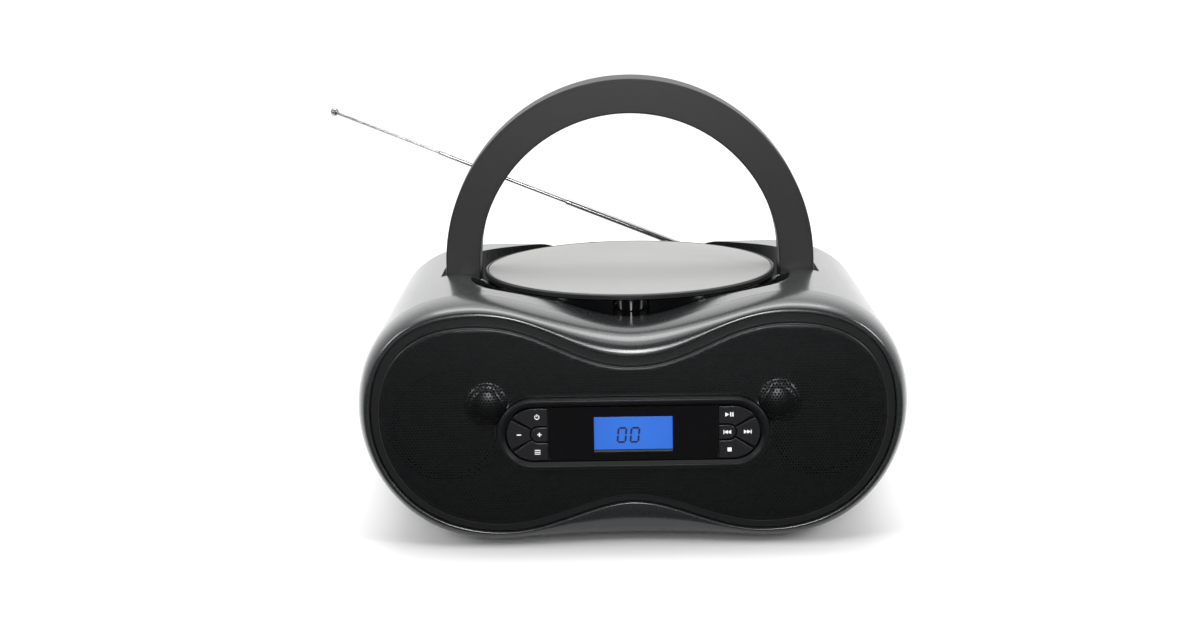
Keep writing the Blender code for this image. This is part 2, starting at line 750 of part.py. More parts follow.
# ---- Loudspeakers --------------------------------------------------------------------------
def loudspeakers(steel, paper):
    flange = RING_DEPTH + BAFFLE_THICK + FIT
    outer = SPEAKER_RADIUS + SPEAKER_LIP
    mouth = SPEAKER_RADIUS - 0.0015
    cone = mouth - 0.0006
    neck = MAGNET_RADIUS * 0.55
    coil = neck * 0.72
    deep = SPEAKER_DEPTH
    coil_end = deep - CONE_TRAVEL - FIT
    frame_profile = [
        (outer, 0), (mouth, 0), (mouth, 0.0038), (neck + 0.003, deep - 0.0015),
        (coil + 0.0012, deep - 0.0015), (coil + 0.0012, deep), (neck + 0.006, deep),
        (mouth + 0.0012, 0.0048), (mouth + 0.0012, 0.0015), (outer, 0.0015),
    ]
    cone_profile = [
        (0, 0.0040), (neck * 0.6, 0.0048), (neck, 0.0072), (cone, 0.0004 + CONE_TRAVEL),
        (cone, 0.0012 + CONE_TRAVEL), (neck + 0.0008, 0.0084), (coil, deep - 0.0058),
        (coil, coil_end), (coil - 0.0006, coil_end), (coil - 0.0006, 0.0074), (0, 0.0052),
    ]
    for side, word in mirrored():
        place = (side * (SIDE - SPEAKER_INSET), y_at(flange), GRILLE_MIDDLE)
        turned(f"speaker_frame_{word}", frame_profile, place, "Y", steel, 32)
        turned(f"speaker_cone_{word}", list(reversed(cone_profile)), place, "Y", paper, 24)
        start = (place[0], y_at(flange + deep + FIT), place[2])
        cylinder(f"speaker_magnet_{word}", MAGNET_RADIUS, start, MAGNET_THICK, "Y", steel, 28)


# ---- Cabinet -----------------------------------------------------------------------------
def recess_loop(grow):
    """Plan of the hole in the cabinet's top: the drum's seat with the handle's trench round it."""
    drum = DRUM_RADIUS + 0.001 + grow
    trench = TRENCH_RADIUS + grow
    front = SLOT_FRONT_Y - grow
    turn = math.degrees(math.asin((DECK_Y - front) / drum))
    points = [(trench, front)]
    points += arc((0, TRENCH_Y), trench, 0, 180, 32)
    points += [(-trench, front)]
    points += arc((0, DECK_Y), drum, 180 + turn, 360 - turn, 28)
    return points


def recess(name, grow):
    return plate(name, recess_loop(grow), RECESS_FLOOR - grow, REAR_TOP + BODY_HEIGHT, "Z")


def battery_space(name, grow, bottom):
    low = (-BATTERY_HALF_LENGTH - grow, y_at(BATTERY_BACK - BATTERY_WIDTH) - grow, bottom)
    high = (BATTERY_HALF_LENGTH + grow, y_at(BATTERY_BACK) + grow, BATTERY_HEIGHT + grow)
    return box(name, low, high)


def screw_places():
    """Rear screws as (x, z), and the wall that each one's post is ribbed to."""
    high = BODY_HEIGHT * 0.6
    return [
        ("upper_left", -(SIDE - 0.020), high, "side"),
        ("upper_right", SIDE - 0.020, high, "side"),
        ("lower_left", -(SIDE - 0.084), 0.013, "bottom"),
        ("lower_right", SIDE - 0.084, 0.013, "bottom"),
    ]


def cabinet_shell(finish):
    front = BEZEL_DEPTH + SEAM
    depths = [front + (COVER_DEPTH_AT - front) * step / 4 for step in range(5)]
    obj = loft("cabinet_shell", [at_depth(body_loop(depth), depth) for depth in depths], finish)
    depths[0] -= WALL
    depths[-1] += WALL
    inside = loft("cabinet_inside", [at_depth(offset(body_loop(d), -WALL), d) for d in depths])
    cut(inside, recess("recess_walls", WALL - 0.0003), battery_space("battery_walls", WALL, -WALL))
    cut(obj, inside, recess("cabinet_recess", 0), battery_space("battery_room", 0, -WALL))
    cut(obj, lid_dish())
    hole = DRUM_RADIUS - 0.0055
    start = (0, DECK_Y, RECESS_FLOOR - 2 * WALL)
    cut(obj, cylinder("mechanism_hole", hole, start, 3 * WALL, "Z", sides=ROUND))
    for side, word in mirrored():
        reach = WALL + 0.002
        x = side * TRENCH_RADIUS if side > 0 else side * TRENCH_RADIUS - reach
        place = (x - 0.001 * side, DECK_Y, PIVOT_Z)
        cut(obj, cylinder(f"pivot_hole_{word}", PIVOT_RADIUS + PIVOT_FIT, place, reach, "X", sides=24))
    for index, (x, y) in enumerate(board_posts()):
        post_height = board_place()[1] - FIT - WALL / 2
        start = (x, y, WALL / 2)
        join(obj, cylinder(f"board_post_{index}", BOARD_POST_RADIUS, start, post_height, "Z", sides=10))
    for word, x, z, wall in screw_places():
        start = (x, y_at(COVER_DEPTH_AT - SCREW_POST_LENGTH), z)
        length = SCREW_POST_LENGTH - FIT
        join(obj, cylinder(f"post_{word}", SCREW_POST_RADIUS, start, length, "Y", sides=16))
        join(obj, post_rib(word, x, z, wall, SCREW_POST_LENGTH))
        bore_start = (x, start[1] + 0.004, z)
        cut(obj, cylinder(f"post_bore_{word}", SCREW_RADIUS + 0.0002, bore_start, 0.03, "Y", sides=12))
    return obj


def post_rib(word, x, z, wall, length):
    low_y, high_y = y_at(COVER_DEPTH_AT - length + 0.001), y_at(COVER_DEPTH_AT - 0.001)
    if wall == "side":
        out = SIDE - 0.0045
        low_x, high_x = sorted((x + math.copysign(0.003, x), math.copysign(out, x)))
        return box(f"rib_{word}", (low_x, low_y, z - 0.001), (high_x, high_y, z + 0.001))
    return box(f"rib_{word}", (x - 0.001, low_y, WALL / 2), (x + 0.001, high_y, z - 0.003))


def lid_dish():
    """A shallow cone round the drum that lets the lid lie just clear of the cabinet's top."""
    bottom = DRUM_TOP - 0.0012
    inner = DRUM_RADIUS + 0.0015
    rise, run = 0.005, 0.016
    profile = [(0, bottom + rise), (inner + run, bottom + rise), (inner, bottom), (0, bottom)]
    return turned("lid_dish", profile, (0, DECK_Y, 0), "Z")


def rear_cover(finish):
    rings, inner_rings = [], []
    start = COVER_DEPTH_AT + SEAM
    flat = BODY_DEPTH - REAR_ROUNDING
    rings.append(at_depth(body_loop(start), start))
    inner_rings.append(at_depth(offset(body_loop(start), -WALL), start - WALL))
    for degrees in (0, 30, 60, 90):
        angle = math.radians(degrees)
        depth = flat + REAR_ROUNDING * math.sin(angle)
        tuck = REAR_ROUNDING * (1 - math.cos(angle))
        rings.append(at_depth(offset(body_loop(depth), -tuck), depth))
        inner_depth = flat + (REAR_ROUNDING - WALL) * math.sin(angle)
        inner_rings.append(at_depth(offset(body_loop(depth), -tuck * 0.7 - WALL), inner_depth))
    obj = loft("rear_cover", rings, finish)
    inside = loft("cover_inside", inner_rings)
    cut(inside, recess("cover_recess_walls", WALL - 0.0003))
    cut(obj, inside, recess("cover_recess", 0))
    for word, x, z, wall in screw_places():
        low = COVER_DEPTH_AT + SEAM + FIT
        length = BODY_DEPTH - WALL / 2 - low
        boss = cylinder(f"boss_{word}", SCREW_BOSS_RADIUS, (x, y_at(low), z), length, "Y", sides=20)
        join(obj, boss)
        head_room = cylinder(f"counterbore_{word}", SCREW_HEAD_RADIUS + 0.0005,
                             (x, y_at(BODY_DEPTH - SCREW_SINK), z), 0.01, "Y", sides=20)
        shank = cylinder(f"cover_bore_{word}", SCREW_RADIUS + 0.0004, (x, y_at(low - 0.01), z), 0.03,
                         "Y", sides=12)
        cut(obj, head_room, shank)
    half_width, half_height = INLET_WIDTH / 2, INLET_HEIGHT / 2
    cut(obj, box("inlet_hole",
                 (INLET_X - half_width, y_at(COVER_DEPTH_AT), INLET_UP - half_height),
                 (INLET_X + half_width, y_at(BODY_DEPTH + WALL), INLET_UP + half_height)))
    socket_top = ANTENNA_UP - ANTENNA_SOCKET_DROP
    socket_low = socket_top - ANTENNA_POST_HEIGHT
    post_place = (ANTENNA_X, y_at(BODY_DEPTH + ANTENNA_BEHIND), socket_low)
    post = cylinder("antenna_post", ANTENNA_POST_RADIUS, post_place, ANTENNA_POST_HEIGHT, "Z")
    bridge = box("antenna_bridge",
                 (ANTENNA_X - 0.0060, y_at(BODY_DEPTH - WALL / 2), socket_low + 0.0005),
                 (ANTENNA_X + 0.0060, y_at(BODY_DEPTH + ANTENNA_BEHIND - 0.002), socket_top - 0.0005))
    join(obj, bridge, post)
    bore = cylinder("antenna_bore", 0.0030, (ANTENNA_X, y_at(BODY_DEPTH + ANTENNA_BEHIND), socket_low + 0.003),
                    0.02, "Z", sides=20)
    return cut(obj, bore)


def rear_screws(finish):
    for word, x, z, wall in screw_places():
        head = BODY_DEPTH - SCREW_SINK + FIT
        tip = COVER_DEPTH_AT - 0.012
        profile = [
            (0, head + 0.0022), (SCREW_HEAD_RADIUS * 0.7, head + 0.0020), (SCREW_HEAD_RADIUS, head + 0.0008),
            (SCREW_HEAD_RADIUS, head), (SCREW_RADIUS, head), (SCREW_RADIUS, tip + 0.002), (0, tip),
        ]
        turned(f"rear_screw_{word}", profile, (x, y_at(0), z), "Y", finish, 16)


def rubber_feet(finish):
    x = SIDE - FOOT_INSET - FOOT_RADIUS - 0.004
    for side, word in mirrored():
        for row, depth in (("front", BEZEL_DEPTH + 0.013), ("rear", COVER_DEPTH_AT - 0.013)):
            profile = [(0, -FIT), (FOOT_RADIUS, -FIT), (FOOT_RADIUS * 0.9, -FIT - FOOT_THICK),
                       (0, -FIT - FOOT_THICK)]
            turned(f"foot_{row}_{word}", profile, (side * x, y_at(depth), 0), "Z", finish, 20)


# ---- Compact-disc deck -------------------------------------------------------------------
def cd_well(finish):
    inner = DRUM_RADIUS - DRUM_WALL
    well = DISC_WELL_RADIUS
    profile = [
        (DRUM_RADIUS, DRUM_TOP), (DRUM_RADIUS, DRUM_BOTTOM), (inner, DRUM_BOTTOM),
        (inner, LEDGE_TOP - FLOOR_THICK), (well + DRUM_WALL, LEDGE_TOP - FLOOR_THICK),
        (well + DRUM_WALL, WELL_UNDER), (HUB_HOLE_RADIUS, WELL_UNDER), (HUB_HOLE_RADIUS, WELL_FLOOR),
        (well, WELL_FLOOR), (well, LEDGE_TOP), (inner, LEDGE_TOP), (inner, DRUM_TOP),
    ]
    obj = turned("cd_well", profile, (0, DECK_Y, 0), "Z", finish, DECK_ROUND)
    backing = box(
        "scoop_backing",
        (-0.014, DECK_Y - DRUM_RADIUS + 0.0015, DRUM_TOP - SCOOP_DROP - 0.002),
        (0.014, DECK_Y - well - 0.0005, LEDGE_TOP - 0.0002),
    )
    join(obj, backing)
    place = (0, DECK_Y - DRUM_RADIUS - SCOOP_OFFSET, DRUM_TOP - SCOOP_DROP)
    cut(obj, cylinder("finger_scoop", SCOOP_RADIUS, place, SCOOP_DROP + WALL, "Z", sides=32))
    half = LASER_SLOT_WIDTH / 2
    cut(obj, box("laser_slot", (0, DECK_Y - half, WELL_UNDER - WALL),
                 (LASER_SLOT_END, DECK_Y + half, WELL_FLOOR + WALL)))
    for side, word in mirrored():
        low, high = sorted((side * HINGE_EAR_INNER, side * (HINGE_EAR_INNER + HINGE_EAR_THICK)))
        join(obj, plate(f"hinge_ear_{word}", ear_outline(), low, high, "X"))
        cut(obj, hinge_bore(f"ear_bore_{word}", low - WALL, high - low + 2 * WALL))
    return obj


def ear_outline():
    """Side view (y, z) of an ear that carries the lid's hinge pin."""
    outer_x = HINGE_EAR_INNER + HINGE_EAR_THICK
    front = DECK_Y + math.sqrt(DRUM_RADIUS**2 - outer_x**2) - 0.0004
    points = [(front, DRUM_BOTTOM + 0.0002), (HINGE_Y + HINGE_RADIUS, DRUM_BOTTOM + 0.0002)]
    points += arc((HINGE_Y, HINGE_Z), HINGE_RADIUS, 0, 160, 8)
    return points + [(front, HINGE_Z - HINGE_RADIUS)]


def hinge_bore(name, start, length):
    place = (start, HINGE_Y, HINGE_Z)
    return cylinder(name, HINGE_PIN_RADIUS + 0.0002, place, length, "X", sides=16)


def lid(frame_finish, plate_finish, pin_finish):
    recess_depth = LID_PLATE_THICK + FIT
    plate_radius = LID_RADIUS - LID_RIM
    profile = [
        (0, LID_TOP - recess_depth), (plate_radius + FIT, LID_TOP - recess_depth),
        (plate_radius + FIT, LID_TOP), (LID_RADIUS - 0.0007, LID_TOP), (LID_RADIUS, LID_TOP - 0.0008),
        (LID_RADIUS - 0.0004, LID_BOTTOM + 0.0003), (LID_RADIUS - 0.0010, LID_BOTTOM), (0, LID_BOTTOM),
    ]
    frame = turned("lid_frame", profile, (0, DECK_Y, 0), "Z", frame_finish, DECK_ROUND)
    for side, word in mirrored():
        near = HINGE_EAR_INNER + HINGE_EAR_THICK + 0.001
        low, high = sorted((side * near, side * (near + HINGE_EAR_THICK)))
        join(frame, plate(f"lid_arm_{word}", arm_outline(), low, high, "X"))
        cut(frame, hinge_bore(f"arm_bore_{word}", low - 0.0005, high - low + 0.001))
    top = [(0, LID_TOP), (plate_radius - FIT, LID_TOP), (plate_radius, LID_TOP - 0.0003),
           (plate_radius, LID_TOP - LID_PLATE_THICK), (0, LID_TOP - LID_PLATE_THICK)]
    turned("lid_plate", top, (0, DECK_Y, 0), "Z", plate_finish, DECK_ROUND)
    half = HINGE_EAR_INNER + 2 * HINGE_EAR_THICK + 0.0025
    cylinder("lid_hinge_pin", HINGE_PIN_RADIUS, (-half, HINGE_Y, HINGE_Z), 2 * half, "X", pin_finish, 16)


def arm_outline():
    """Side view (y, z) of an arm from the lid's underside down to the hinge pin."""
    rim = DECK_Y + LID_RADIUS
    top = LID_TOP - LID_PLATE_THICK - 2 * FIT - 0.0004
    points = [(rim - 0.006, top), (rim - 0.006, LID_BOTTOM + 0.0004), (rim + 0.0008, LID_BOTTOM + 0.0004)]
    points += arc((HINGE_Y, HINGE_Z), HINGE_RADIUS, 170, 360, 10)
    return points + [(HINGE_Y + HINGE_RADIUS, HINGE_Z + 0.002), (rim + 0.006, top)]


def gear_outline(teeth, module, backlash):
    """Straight-flanked teeth close to a 20-degree involute, one of them pointing along +Y."""
    pitch = teeth * module / 2
    slope = math.tan(math.radians(20))
    tip, root = pitch + 0.9 * module, pitch - 1.15 * module
    half_pitch = (math.pi * module / 2 - backlash) / 2
    points = []
    for tooth in range(teeth):
        middle = math.pi / 2 - tooth * 2 * math.pi / teeth
        flank = []
        for radius in (root, pitch, tip):
            half = half_pitch - (radius - pitch) * slope * (1.15 if radius > pitch else 0.6)
            flank.append((radius, half / radius))
        for radius, half in flank:
            points.append((radius * math.cos(middle + half), radius * math.sin(middle + half)))
        for radius, half in reversed(flank):
            points.append((radius * math.cos(middle - half), radius * math.sin(middle - half)))
    return points


def rack_outline(start, end, gap_at, pitch_line, back):
    """Rack along X below its bar: teeth point along -Y, with a gap centred at gap_at."""
    step = math.pi * GEAR_MODULE
    slope = math.tan(math.radians(20))
    half = (step / 2 - BACKLASH) / 2
    up, down = 0.9 * GEAR_MODULE, 1.15 * GEAR_MODULE
    first = math.ceil((start - gap_at + half + 0.0008) / step - 0.5)
    last = math.floor((end - gap_at - half - 0.0008) / step - 0.5)
    points = [(start, back), (start, pitch_line + down)]
    for index in range(first, last + 1):
        middle = gap_at + (index + 0.5) * step
        points += [
            (middle - half - down * slope, pitch_line + down), (middle - half + up * slope, pitch_line - up),
            (middle + half - up * slope, pitch_line - up), (middle + half + down * slope, pitch_line + down),
        ]
    return points + [(end, pitch_line + down), (end, back)]


def deck(finish):
    """Everything that hangs under the well. Places are counted from the turntable's axis."""
    chassis_low = CHASSIS_TOP - CHASSIS_THICK
    rod_z = WELL_UNDER - 0.0031
    rod_start, rod_end = LENS_START - 0.0125, LENS_START + SLED_TRAVEL + 0.0120
    pitch_radius = GEAR_TEETH * GEAR_MODULE / 2
    rack_pitch_y = -SLED_HALF_WIDTH - 0.0022
    gear_x = LENS_START + 0.013
    gear_y = rack_pitch_y - pitch_radius
    gear_low = WELL_UNDER - 0.0050
    gear_high = WELL_UNDER - 0.0018

    chassis_end = LENS_START + SLED_TRAVEL + 0.014
    chassis = box("deck_chassis", (-0.045, DECK_Y - 0.038, chassis_low),
                  (chassis_end, DECK_Y + 0.038, CHASSIS_TOP), finish["black"])
    window = box("sled_window", (LENS_START - 0.0085, DECK_Y - 0.009, chassis_low - WALL),
                 (LENS_START + SLED_TRAVEL + 0.0105, DECK_Y + 0.009, CHASSIS_TOP + WALL))
    cut(chassis, window)
    for index, x in enumerate((rod_start, rod_end)):
        for side, word in mirrored(((-1, "front"), (1, "back"))):
            y = DECK_Y + side * ROD_SPACING
            low = (x - 0.0015, y - 0.0028, CHASSIS_TOP - FIT)
            high = (x + 0.0015, y + 0.0028, rod_z + 0.0024)
            join(chassis, box(f"rod_block_{word}_{index}", low, high))
            start = (x - 0.003, y, rod_z)
            cut(chassis, cylinder(f"rod_bore_{word}_{index}", ROD_RADIUS + 0.0002, start, 0.006, "X", sides=12))
    for name, x, y in (("spindle_hole", 0, DECK_Y), ("gear_shaft_hole", gear_x, DECK_Y + gear_y)):
        place = (x, y, chassis_low - WALL)
        cut(chassis, cylinder(name, SPINDLE_RADIUS + 0.0005, place, 0.01, "Z", sides=16))

    for side, word in mirrored(((-1, "front"), (1, "back"))):
        start = (rod_start - 0.0012, DECK_Y + side * ROD_SPACING, rod_z)
        length = rod_end - rod_start + 0.0024
        cylinder(f"guide_rod_{word}", ROD_RADIUS, start, length, "X", finish["steel"], 12)

    sled_back = LENS_START - 0.009
    sled = box("laser_sled", (sled_back, DECK_Y - SLED_HALF_WIDTH, rod_z - 0.0022),
               (sled_back + SLED_LENGTH, DECK_Y + SLED_HALF_WIDTH, rod_z - 0.0022 + SLED_HEIGHT),
               finish["white"])
    rack = rack_outline(gear_x - SLED_TRAVEL - 0.003, gear_x + 0.003, gear_x, rack_pitch_y,
                        -SLED_HALF_WIDTH + 0.0006)
    rack = [(x, DECK_Y + y) for x, y in rack]
    join(sled, plate("sled_rack", rack, gear_low + 0.0002, gear_high - 0.0002, "Z"))
    for side, word in mirrored(((-1, "front"), (1, "back"))):
        start = (sled_back - WALL, DECK_Y + side * ROD_SPACING, rod_z)
        cut(sled, cylinder(f"sled_bore_{word}", ROD_RADIUS + 0.0002, start, SLED_LENGTH + 2 * WALL, "X", sides=12))
    lens_low = rod_z - 0.0022 + SLED_HEIGHT + FIT
    lens = cylinder("laser_lens", LENS_RADIUS, (LENS_START, DECK_Y, lens_low), 0.0015, "Z", finish["lens"], 20)
    soften(lens, 0.0004, 1)

    gear = plate("sled_gear", gear_outline(GEAR_TEETH, GEAR_MODULE, BACKLASH), gear_low, gear_high, "Z",
                 finish["white"], (gear_x, DECK_Y + gear_y, 0))
    shaft_low = chassis_low + FIT
    join(gear, cylinder("gear_shaft", 0.0012, (gear_x, DECK_Y + gear_y, shaft_low), gear_high - shaft_low - FIT,
                        "Z", sides=12))
    cylinder("sled_motor", 0.008, (gear_x, DECK_Y + gear_y, chassis_low - FIT - 0.009), 0.009, "Z",
             finish["steel"], 20)

    cylinder("spindle_motor", MOTOR_RADIUS, (0, DECK_Y, chassis_low - FIT - MOTOR_LENGTH), MOTOR_LENGTH, "Z",
             finish["steel"], 24)
    hub_low = WELL_FLOOR + 0.0006
    hub = [
        (0, hub_low + 0.0072), (0.0045, hub_low + 0.0066), (0.0073, hub_low + 0.0046),
        (0.0073, hub_low + 0.0026), (HUB_RADIUS, hub_low + 0.0026), (HUB_RADIUS, hub_low + 0.0004),
        (HUB_RADIUS - 0.0006, hub_low), (0.004, hub_low), (0.004, WELL_UNDER), (SPINDLE_RADIUS, WELL_UNDER),
        (SPINDLE_RADIUS, shaft_low), (0, shaft_low),
    ]
    turned("turntable_hub", hub, (0, DECK_Y, 0), "Z", finish["gloss"], 32)

    for word, x, y in (("front", -0.036, -0.030), ("back", -0.036, 0.030), ("side", chassis_end - 0.014, 0.030)):
        low = CHASSIS_TOP + FIT
        height = WELL_UNDER - FIT - low
        profile = [
            (0, low + height), (0.004, low + height), (0.004, low + height * 0.65),
            (0.0028, low + height * 0.55), (0.0028, low + height * 0.45), (0.004, low + height * 0.35),
            (0.004, low), (0, low),
        ]
        turned(f"deck_damper_{word}", profile, (x, DECK_Y + y, 0), "Z", finish["rubber"], 16)


# ---- Handle -----------------------------------------------------------------------------
def handle(finish, pin_finish):
    arch = [(HANDLE_OUTER, PIVOT_Z)] + arc((0, ARCH_Z), HANDLE_OUTER, 0, 180, 28)
    arch += [(-HANDLE_OUTER, PIVOT_Z), (-HANDLE_INNER, PIVOT_Z)]
    arch += arc((0, ARCH_Z), HANDLE_INNER, 180, 0, 28) + [(HANDLE_INNER, PIVOT_Z)]
    half = HANDLE_THICK / 2
    # The arch is drawn from its pivots up, so that its object can stand on the fold axis.
    arch = [(x, z - PIVOT_Z) for x, z in arch]
    obj = plate("handle", arch, -half, half, "Y", finish, (0, DECK_Y, PIVOT_Z))
    soften(obj, 0.0015, 2)
    for side, word in mirrored():
        inset = 0.0008
        start = (side * HANDLE_INNER + inset if side > 0 else -HANDLE_OUTER + inset, DECK_Y, PIVOT_Z)
        eye = cylinder(f"handle_eye_{word}", half, start, HANDLE_WIDTH - 2 * inset, "X", sides=32)
        soften(eye, 0.0015, 1)
        join(obj, eye)
        bore_depth = 0.012
        x = HANDLE_OUTER - bore_depth if side > 0 else -HANDLE_OUTER - WALL
        bore = cylinder(f"handle_bore_{word}", PIVOT_RADIUS + PIVOT_FIT, (x, DECK_Y, PIVOT_Z),
                        bore_depth + WALL, "X", sides=24)
        cut(obj, bore)
        wall_out = TRENCH_RADIUS + WALL - 0.0003
        inner_end = HANDLE_OUTER - bore_depth + 0.001
        end = wall_out + FIT + PIVOT_HEAD_THICK / 2
        low = inner_end if side > 0 else -end
        length = end - inner_end
        pin = cylinder(f"handle_pivot_pin_{word}", PIVOT_RADIUS, (low, DECK_Y, PIVOT_Z), length, "X",
                       pin_finish, 24)
        head_low = wall_out + FIT if side > 0 else -wall_out - FIT - PIVOT_HEAD_THICK
        head = cylinder(f"pivot_head_{word}", PIVOT_HEAD_RADIUS, (head_low, DECK_Y, PIVOT_Z),
                        PIVOT_HEAD_THICK, "X", sides=20)
        join(pin, head)


# ---- Antenna ----------------------------------------------------------------------------
def antenna(finish, dark):
    pivot = (ANTENNA_X, y_at(BODY_DEPTH + ANTENNA_BEHIND), ANTENNA_UP)
    socket_top = ANTENNA_UP - ANTENNA_SOCKET_DROP
    base_low = socket_top + FIT
    swivel = turned(
        "antenna_swivel",
        [(0, base_low + 0.0048), (0.0050, base_low + 0.0048), (0.0060, base_low + 0.0038), (0.0060, base_low),
         (0.0026, base_low), (0.0026, base_low - 0.0070), (0, base_low - 0.0070)],
        (pivot[0], pivot[1], 0), "Z", dark, 24,
    )
    ear = [(-0.0036, base_low + 0.0040 - ANTENNA_UP)] + [(0.0036, base_low + 0.0040 - ANTENNA_UP)]
    ear += arc((0, 0), 0.0036, 0, 180, 8)
    gap = TANG_THICK / 2 + 0.0002
    for side, word in mirrored(((-1, "front"), (1, "back"))):
        low, high = sorted((side * gap, side * (gap + 0.0016)))
        join(swivel, plate(f"antenna_ear_{word}", ear, low, high, "Y", None, pivot))
    join(swivel, cylinder("antenna_cross_pin", 0.0011, (pivot[0], pivot[1] - gap - 0.001, pivot[2]),
                          2 * gap + 0.002, "Y", sides=12))

    base_radius = ANTENNA_RADII[0]
    names = ("antenna_base_tube", "antenna_middle_tube", "antenna_tip_rod")
    sections = []
    for index, name in enumerate(names):
        radius = ANTENNA_RADII[index]
        start = ANTENNA_STARTS[index] - (ANTENNA_OVERLAP if index else 0)
        end = ANTENNA_ENDS[index]
        if index < len(names) - 1:
            bore = ANTENNA_RADII[index + 1] + ANTENNA_BORE_GAP
            floor = start + (0.001 if index else 0.0015)
            profile = [(0, floor), (bore, floor), (bore, end), (radius - 0.0001, end), (radius, end - 0.0004),
                       (radius, start), (0, start)]
        else:
            ball = ANTENNA_TIP_RADIUS
            profile = [(0, end + 2 * ball - 0.0005)]
            profile += [(ball * math.sin(math.radians(a)), end + ball - 0.0005 + ball * math.cos(math.radians(a)))
                        for a in (35, 65, 90, 115, 140)]
            profile += [(radius, end), (radius, start), (0, start)]
        obj = turned(name, profile, pivot, "Z", finish, 16)
        obj.rotation_euler = (0, ANTENNA_TILT - math.pi / 2, 0)
        sections.append(obj)
    tang = [(-0.0030, 0.0)] + arc((0, 0), 0.0030, 180, 360, 8) + [(base_radius, ANTENNA_STARTS[0] + 0.0010),
                                                                 (-base_radius, ANTENNA_STARTS[0] + 0.0010)]
    tang_obj = plate("antenna_tang", tang, -TANG_THICK / 2, TANG_THICK / 2, "Y", None, pivot)
    tang_obj.rotation_euler = (0, ANTENNA_TILT - math.pi / 2, 0)
    join(sections[0], tang_obj)
    bore = cylinder("tang_bore", 0.0013, (pivot[0], pivot[1] - 0.003, pivot[2]), 0.006, "Y", sides=12)
    cut(sections[0], bore)


# ---- Inside and underneath -----------------------------------------------------------------
def board_place():
    """Front depth and underside of the main board."""
    return BODY_DEPTH - DECK_TO_REAR - 0.064, BATTERY_HEIGHT + 0.014


def board_posts():
    """Where the main board's four posts stand."""
    front, low_z = board_place()
    half = BOARD_WIDTH / 2 - 0.006
    return [(x, y_at(depth)) for x in (-half, half) for depth in (front + 0.006, front + 0.068)]


def electronics(finish):
    front, low_z = board_place()
    half = BOARD_WIDTH / 2
    board = box("main_board", (-half, y_at(front), low_z), (half, y_at(front + 0.075), low_z + BOARD_THICK),
                finish["board"])
    top = low_z + BOARD_THICK - 0.0002
    for name, x, depth, radius, height in (
        ("capacitor_a", -0.040, 0.012, 0.006, 0.018), ("capacitor_b", -0.025, 0.012, 0.006, 0.018),
        ("capacitor_c", -0.040, 0.028, 0.004, 0.012),
    ):
        join(board, cylinder(name, radius, (x, y_at(front + depth), top), height, "Z", sides=16))
    join(board, box("heat_sink", (0.015, y_at(front + 0.006), top), (0.045, y_at(front + 0.012), top + 0.020)))
    join(board, box("tuner_can", (-0.010, y_at(front + 0.030), top), (0.015, y_at(front + 0.055), top + 0.008)))

    core_front = front + 0.006
    outer = -(BOARD_WIDTH / 2 - 0.013)
    core = box("mains_transformer", (outer, y_at(core_front), WALL + FIT),
               (outer + 0.040, y_at(core_front + 0.034), WALL + FIT + 0.030), finish["steel"])
    winding = box("transformer_winding", (outer + 0.006, y_at(core_front - 0.004), WALL + FIT + 0.005),
                  (outer + 0.034, y_at(core_front + 0.038), WALL + FIT + 0.025))
    join(core, winding)

    half_width, half_height = INLET_WIDTH / 2 - FIT, INLET_HEIGHT / 2 - FIT
    inlet = box("mains_inlet", (INLET_X - 0.012, y_at(COVER_DEPTH_AT - 0.006), INLET_UP - 0.0085),
                (INLET_X + 0.012, y_at(BODY_DEPTH - WALL - FIT), INLET_UP + 0.0085), finish["black"])
    join(inlet, box("inlet_snout", (INLET_X - half_width, y_at(COVER_DEPTH_AT), INLET_UP - half_height),
                    (INLET_X + half_width, y_at(BODY_DEPTH), INLET_UP + half_height)))
    mouth = pill(half_width - 0.0010, half_height - 0.0010, 8)
    recess_front = BODY_DEPTH - INLET_RECESS
    cut(inlet, plate("inlet_recess", mouth, y_at(recess_front), y_at(BODY_DEPTH + WALL), "Y", None,
                     (INLET_X, 0, INLET_UP)))
    for side, word in mirrored():
        start = (INLET_X + side * 0.0043, y_at(recess_front - 0.001), INLET_UP)
        join(inlet, cylinder(f"inlet_contact_{word}", 0.0012, start, INLET_RECESS - 0.001, "Y", sides=12))


def battery_parts(finish):
    gap = FIT
    front = y_at(BATTERY_BACK - BATTERY_WIDTH) + gap
    back = y_at(BATTERY_BACK) - gap
    half = BATTERY_HALF_LENGTH - gap
    door = box("battery_door", (-half, front, 0), (half, back, DOOR_THICK), finish["charcoal"])
    catch = box("door_catch", (-0.008, front + 0.0015, DOOR_THICK - 0.0002), (0.008, front + 0.003, 0.008))
    join(door, catch)
    middle = (front + back) / 2
    for side, word in mirrored():
        inner, outer = sorted((side * (half - 0.0008), side * (half - 0.0002)))
        contact = box(f"battery_contact_{word}", (inner, middle - 0.024, 0.006),
                      (outer, middle + 0.024, 0.024), finish["copper"])
        for row in (-1, 1):
            x = side * (half - 0.0006)
            start = (x - (0.0025 if side > 0 else 0), middle + row * 0.0133, 0.015)
            join(contact, cylinder(f"contact_{word}_{row}", 0.004, start, 0.0025, "X", sides=12))


